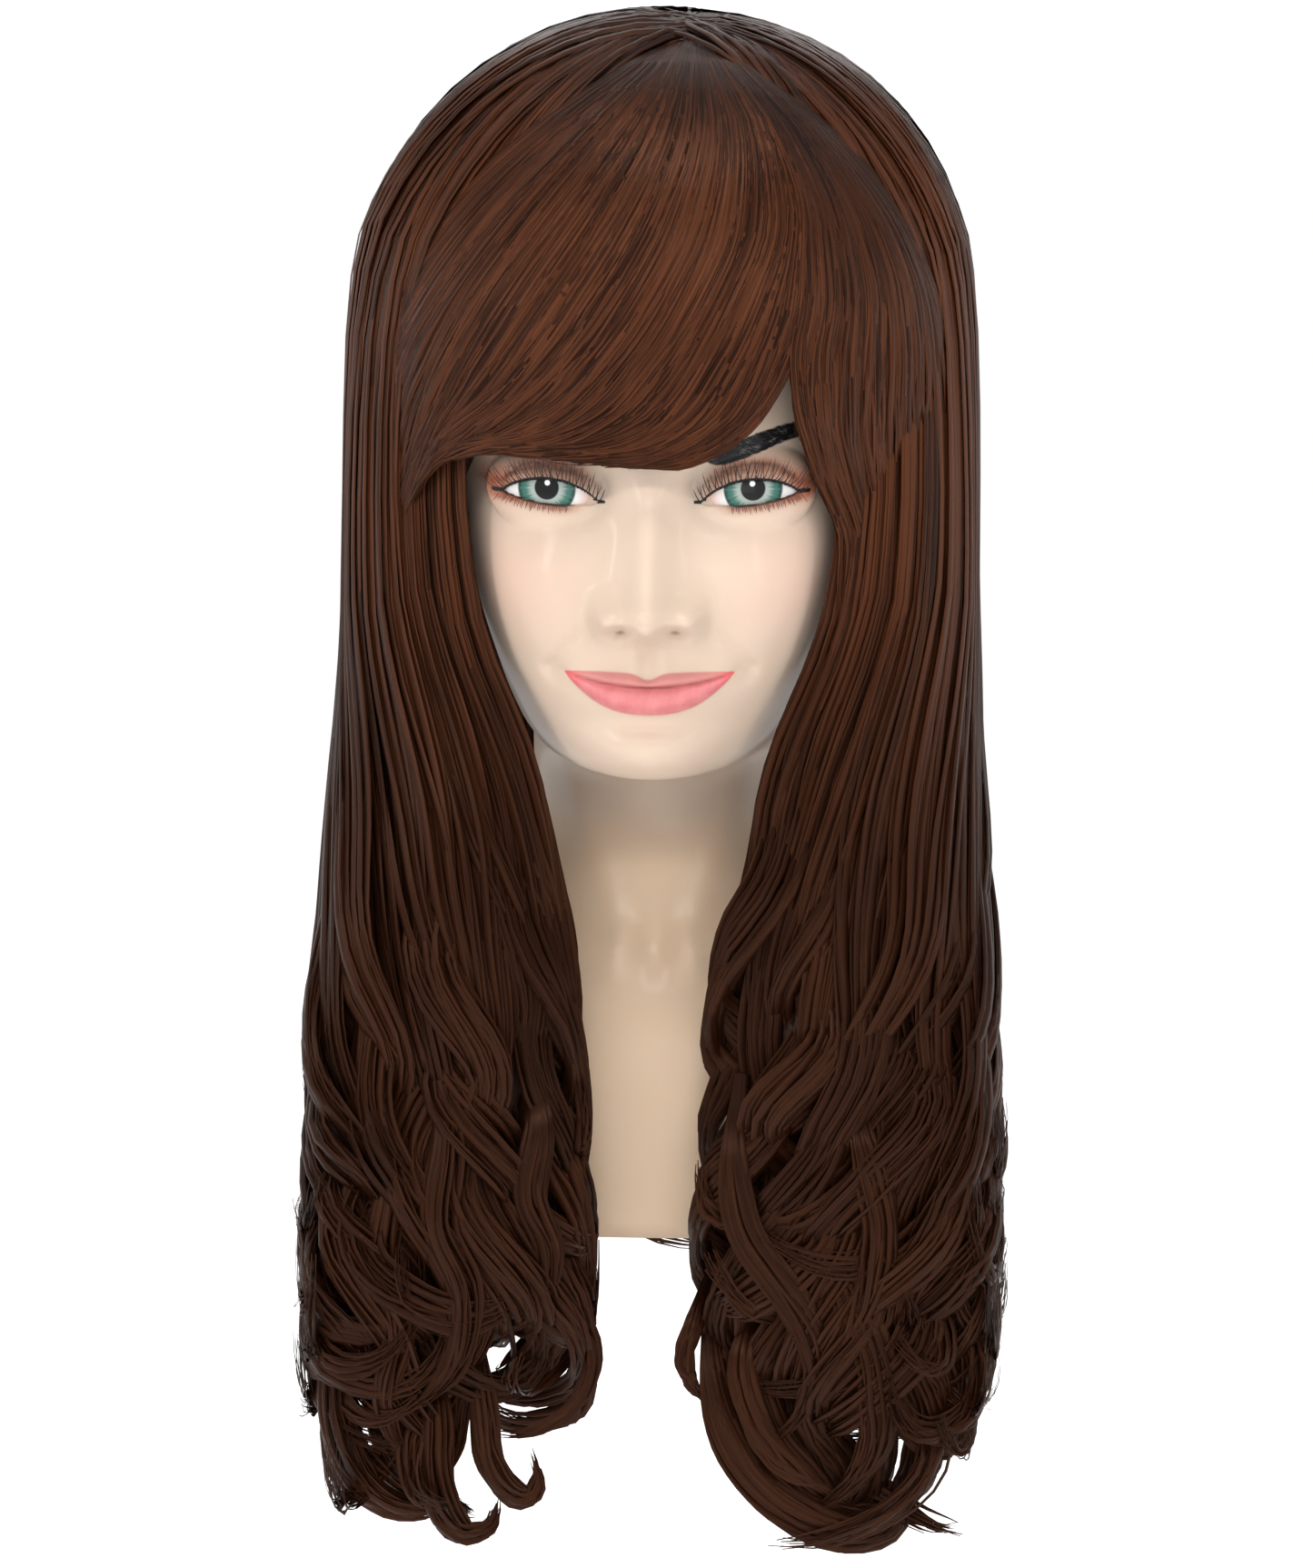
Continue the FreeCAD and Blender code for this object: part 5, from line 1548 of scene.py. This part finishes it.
# --- Parts carried over from the frame ----------------------------------------------------
for node, material in {
    "base_plate": board_material(),
    "screw_blocks": wood_material(),
    "clamp_socket": plastic_material("black_plastic", (0.018, 0.018, 0.02), 0.38),
    "plate_screws": screw_material(),
    "socket_screws": screw_material(),
    "cap_edge_binding": tape_material("binding", (0.05, 0.03, 0.022)),
    "parting_skin": parting_material(),
    "back_wefts": tape_material("wefts_back", (0.03, 0.016, 0.012)),
    "side_wefts": tape_material("wefts_side", (0.03, 0.016, 0.012)),
    "adjuster_strap_left": elastic_material(),
    "adjuster_strap_right": elastic_material(),
    "adjuster_hook_left": plastic_material("hook_left", (0.02, 0.016, 0.014), 0.3),
    "adjuster_hook_right": plastic_material("hook_right", (0.02, 0.016, 0.014), 0.3),
    "hook_ladder": tape_material("ladder", (0.035, 0.02, 0.016)),
    "cap_front_lace": net_material("lace", (0.30, 0.17, 0.11), 0.0016),
    "cap_crown_net": net_material("crown_net", (0.035, 0.022, 0.018), 0.0030),
    "cap_nape_panel": net_material("nape", (0.04, 0.024, 0.02), 0.0022),
    "cap_ear_tab_right": net_material("tab_right", (0.04, 0.024, 0.02), 0.0022),
    "cap_ear_tab_left": net_material("tab_left", (0.04, 0.024, 0.02), 0.0022),
}.items():
    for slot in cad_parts[node].material_slots:
        slot.material = material

# --- Studio -------------------------------------------------------------------------------
# The floor and backdrop in one, a wide bowl: radius and height up its profile. It lies lower
# than the base, because the curls hang below that.
BACKDROP = np.array(
    [(500, -400), (19000, -400), (21500, -150), (23000, 1200), (23500, 6000)], float
)
SIDES = 64
GLOW = 0.48  # of the floor and of the world
turn = np.linspace(0, 2 * math.pi, SIDES + 1)[None, :-1]
radius, height = BACKDROP[:, :1], BACKDROP[:, 1:]
sweep = np.stack([radius * np.sin(turn), -radius * np.cos(turn), height + 0 * turn], -1)
rows = len(BACKDROP)
middle = fan(np.arange(SIDES), rows * SIDES)
floor = new_mesh(
    "studio_floor", np.concatenate([sweep.reshape(-1, 3), [[0, 0, BACKDROP[0, 1]]]]),
    [grid_faces(rows, SIDES)[:, ::-1], middle],
)
pale = Nodes("studio_white")
shade = pale.mix(pale.noise(0.6, 1.0), (0.93, 0.93, 0.93), (0.97, 0.97, 0.97))
pale.set(
    Base_Color=shade, Roughness=0.9, Emission_Color=(1.0, 1.0, 1.0), Emission_Strength=GLOW
)
floor.data.materials.append(pale.material)


def aim(thing, at):
    direction = Vector(at) - thing.location
    thing.rotation_euler = direction.to_track_quat("-Z", "Y").to_euler()


def add_light(name, place, at, size, power):
    data = bpy.data.lights.new(name, "AREA")
    data.shape, data.size, data.size_y = "RECTANGLE", size[0], size[1]
    data.energy = power
    lamp = bpy.data.objects.new(name, data)
    lamp.location = place
    bpy.context.scene.collection.objects.link(lamp)
    aim(lamp, at)


world = bpy.data.worlds.new("studio")
bpy.context.scene.world = world
world.use_nodes = True
world.node_tree.nodes["Background"].inputs[0].default_value = (1.0, 1.0, 1.0, 1.0)
world.node_tree.nodes["Background"].inputs[1].default_value = GLOW
add_light("key", (-1.7, -1.2, 0.85), (0, 0, 0.2), (0.30, 0.9), 10)
add_light("side", (1.7, -1.2, 0.75), (0, 0, 0.2), (0.16, 0.8), 4)
add_light("low", (0.3, -2.0, 0.15), (0, 0, 0.05), (1.0, 0.5), 3)
add_light("front", (0.0, -1.5, 1.35), (0, 0, 0.27), (2.0, 0.22), 13)
add_light("top", (0.1, -0.6, 2.2), (0, 0, 0.25), (0.9, 0.5), 15)
add_light("rear", (0.0, 2.2, 1.6), (0, 0, 0.25), (1.6, 1.0), 10)

# The camera stands where the photo was taken from, by the perspective of the head and the base.
SENSOR_WIDE = 36.0
PHOTO_WIDE = 1445
FOCAL_PIXELS = 1750 / 0.3  # the lens in the photo's pixels
lens = bpy.data.cameras.new("photo_view")
lens.sensor_fit, lens.sensor_width = "HORIZONTAL", SENSOR_WIDE
lens.lens = SENSOR_WIDE * FOCAL_PIXELS / PHOTO_WIDE
camera = bpy.data.objects.new("photo_view", lens)
bpy.context.scene.collection.objects.link(camera)
camera.location = (0.0738, -1.7218, 0.4419)
aim(camera, (-0.0014, 0.0, 0.1380))
bpy.context.scene.camera = camera
bpy.context.scene.view_settings.view_transform = "Standard"
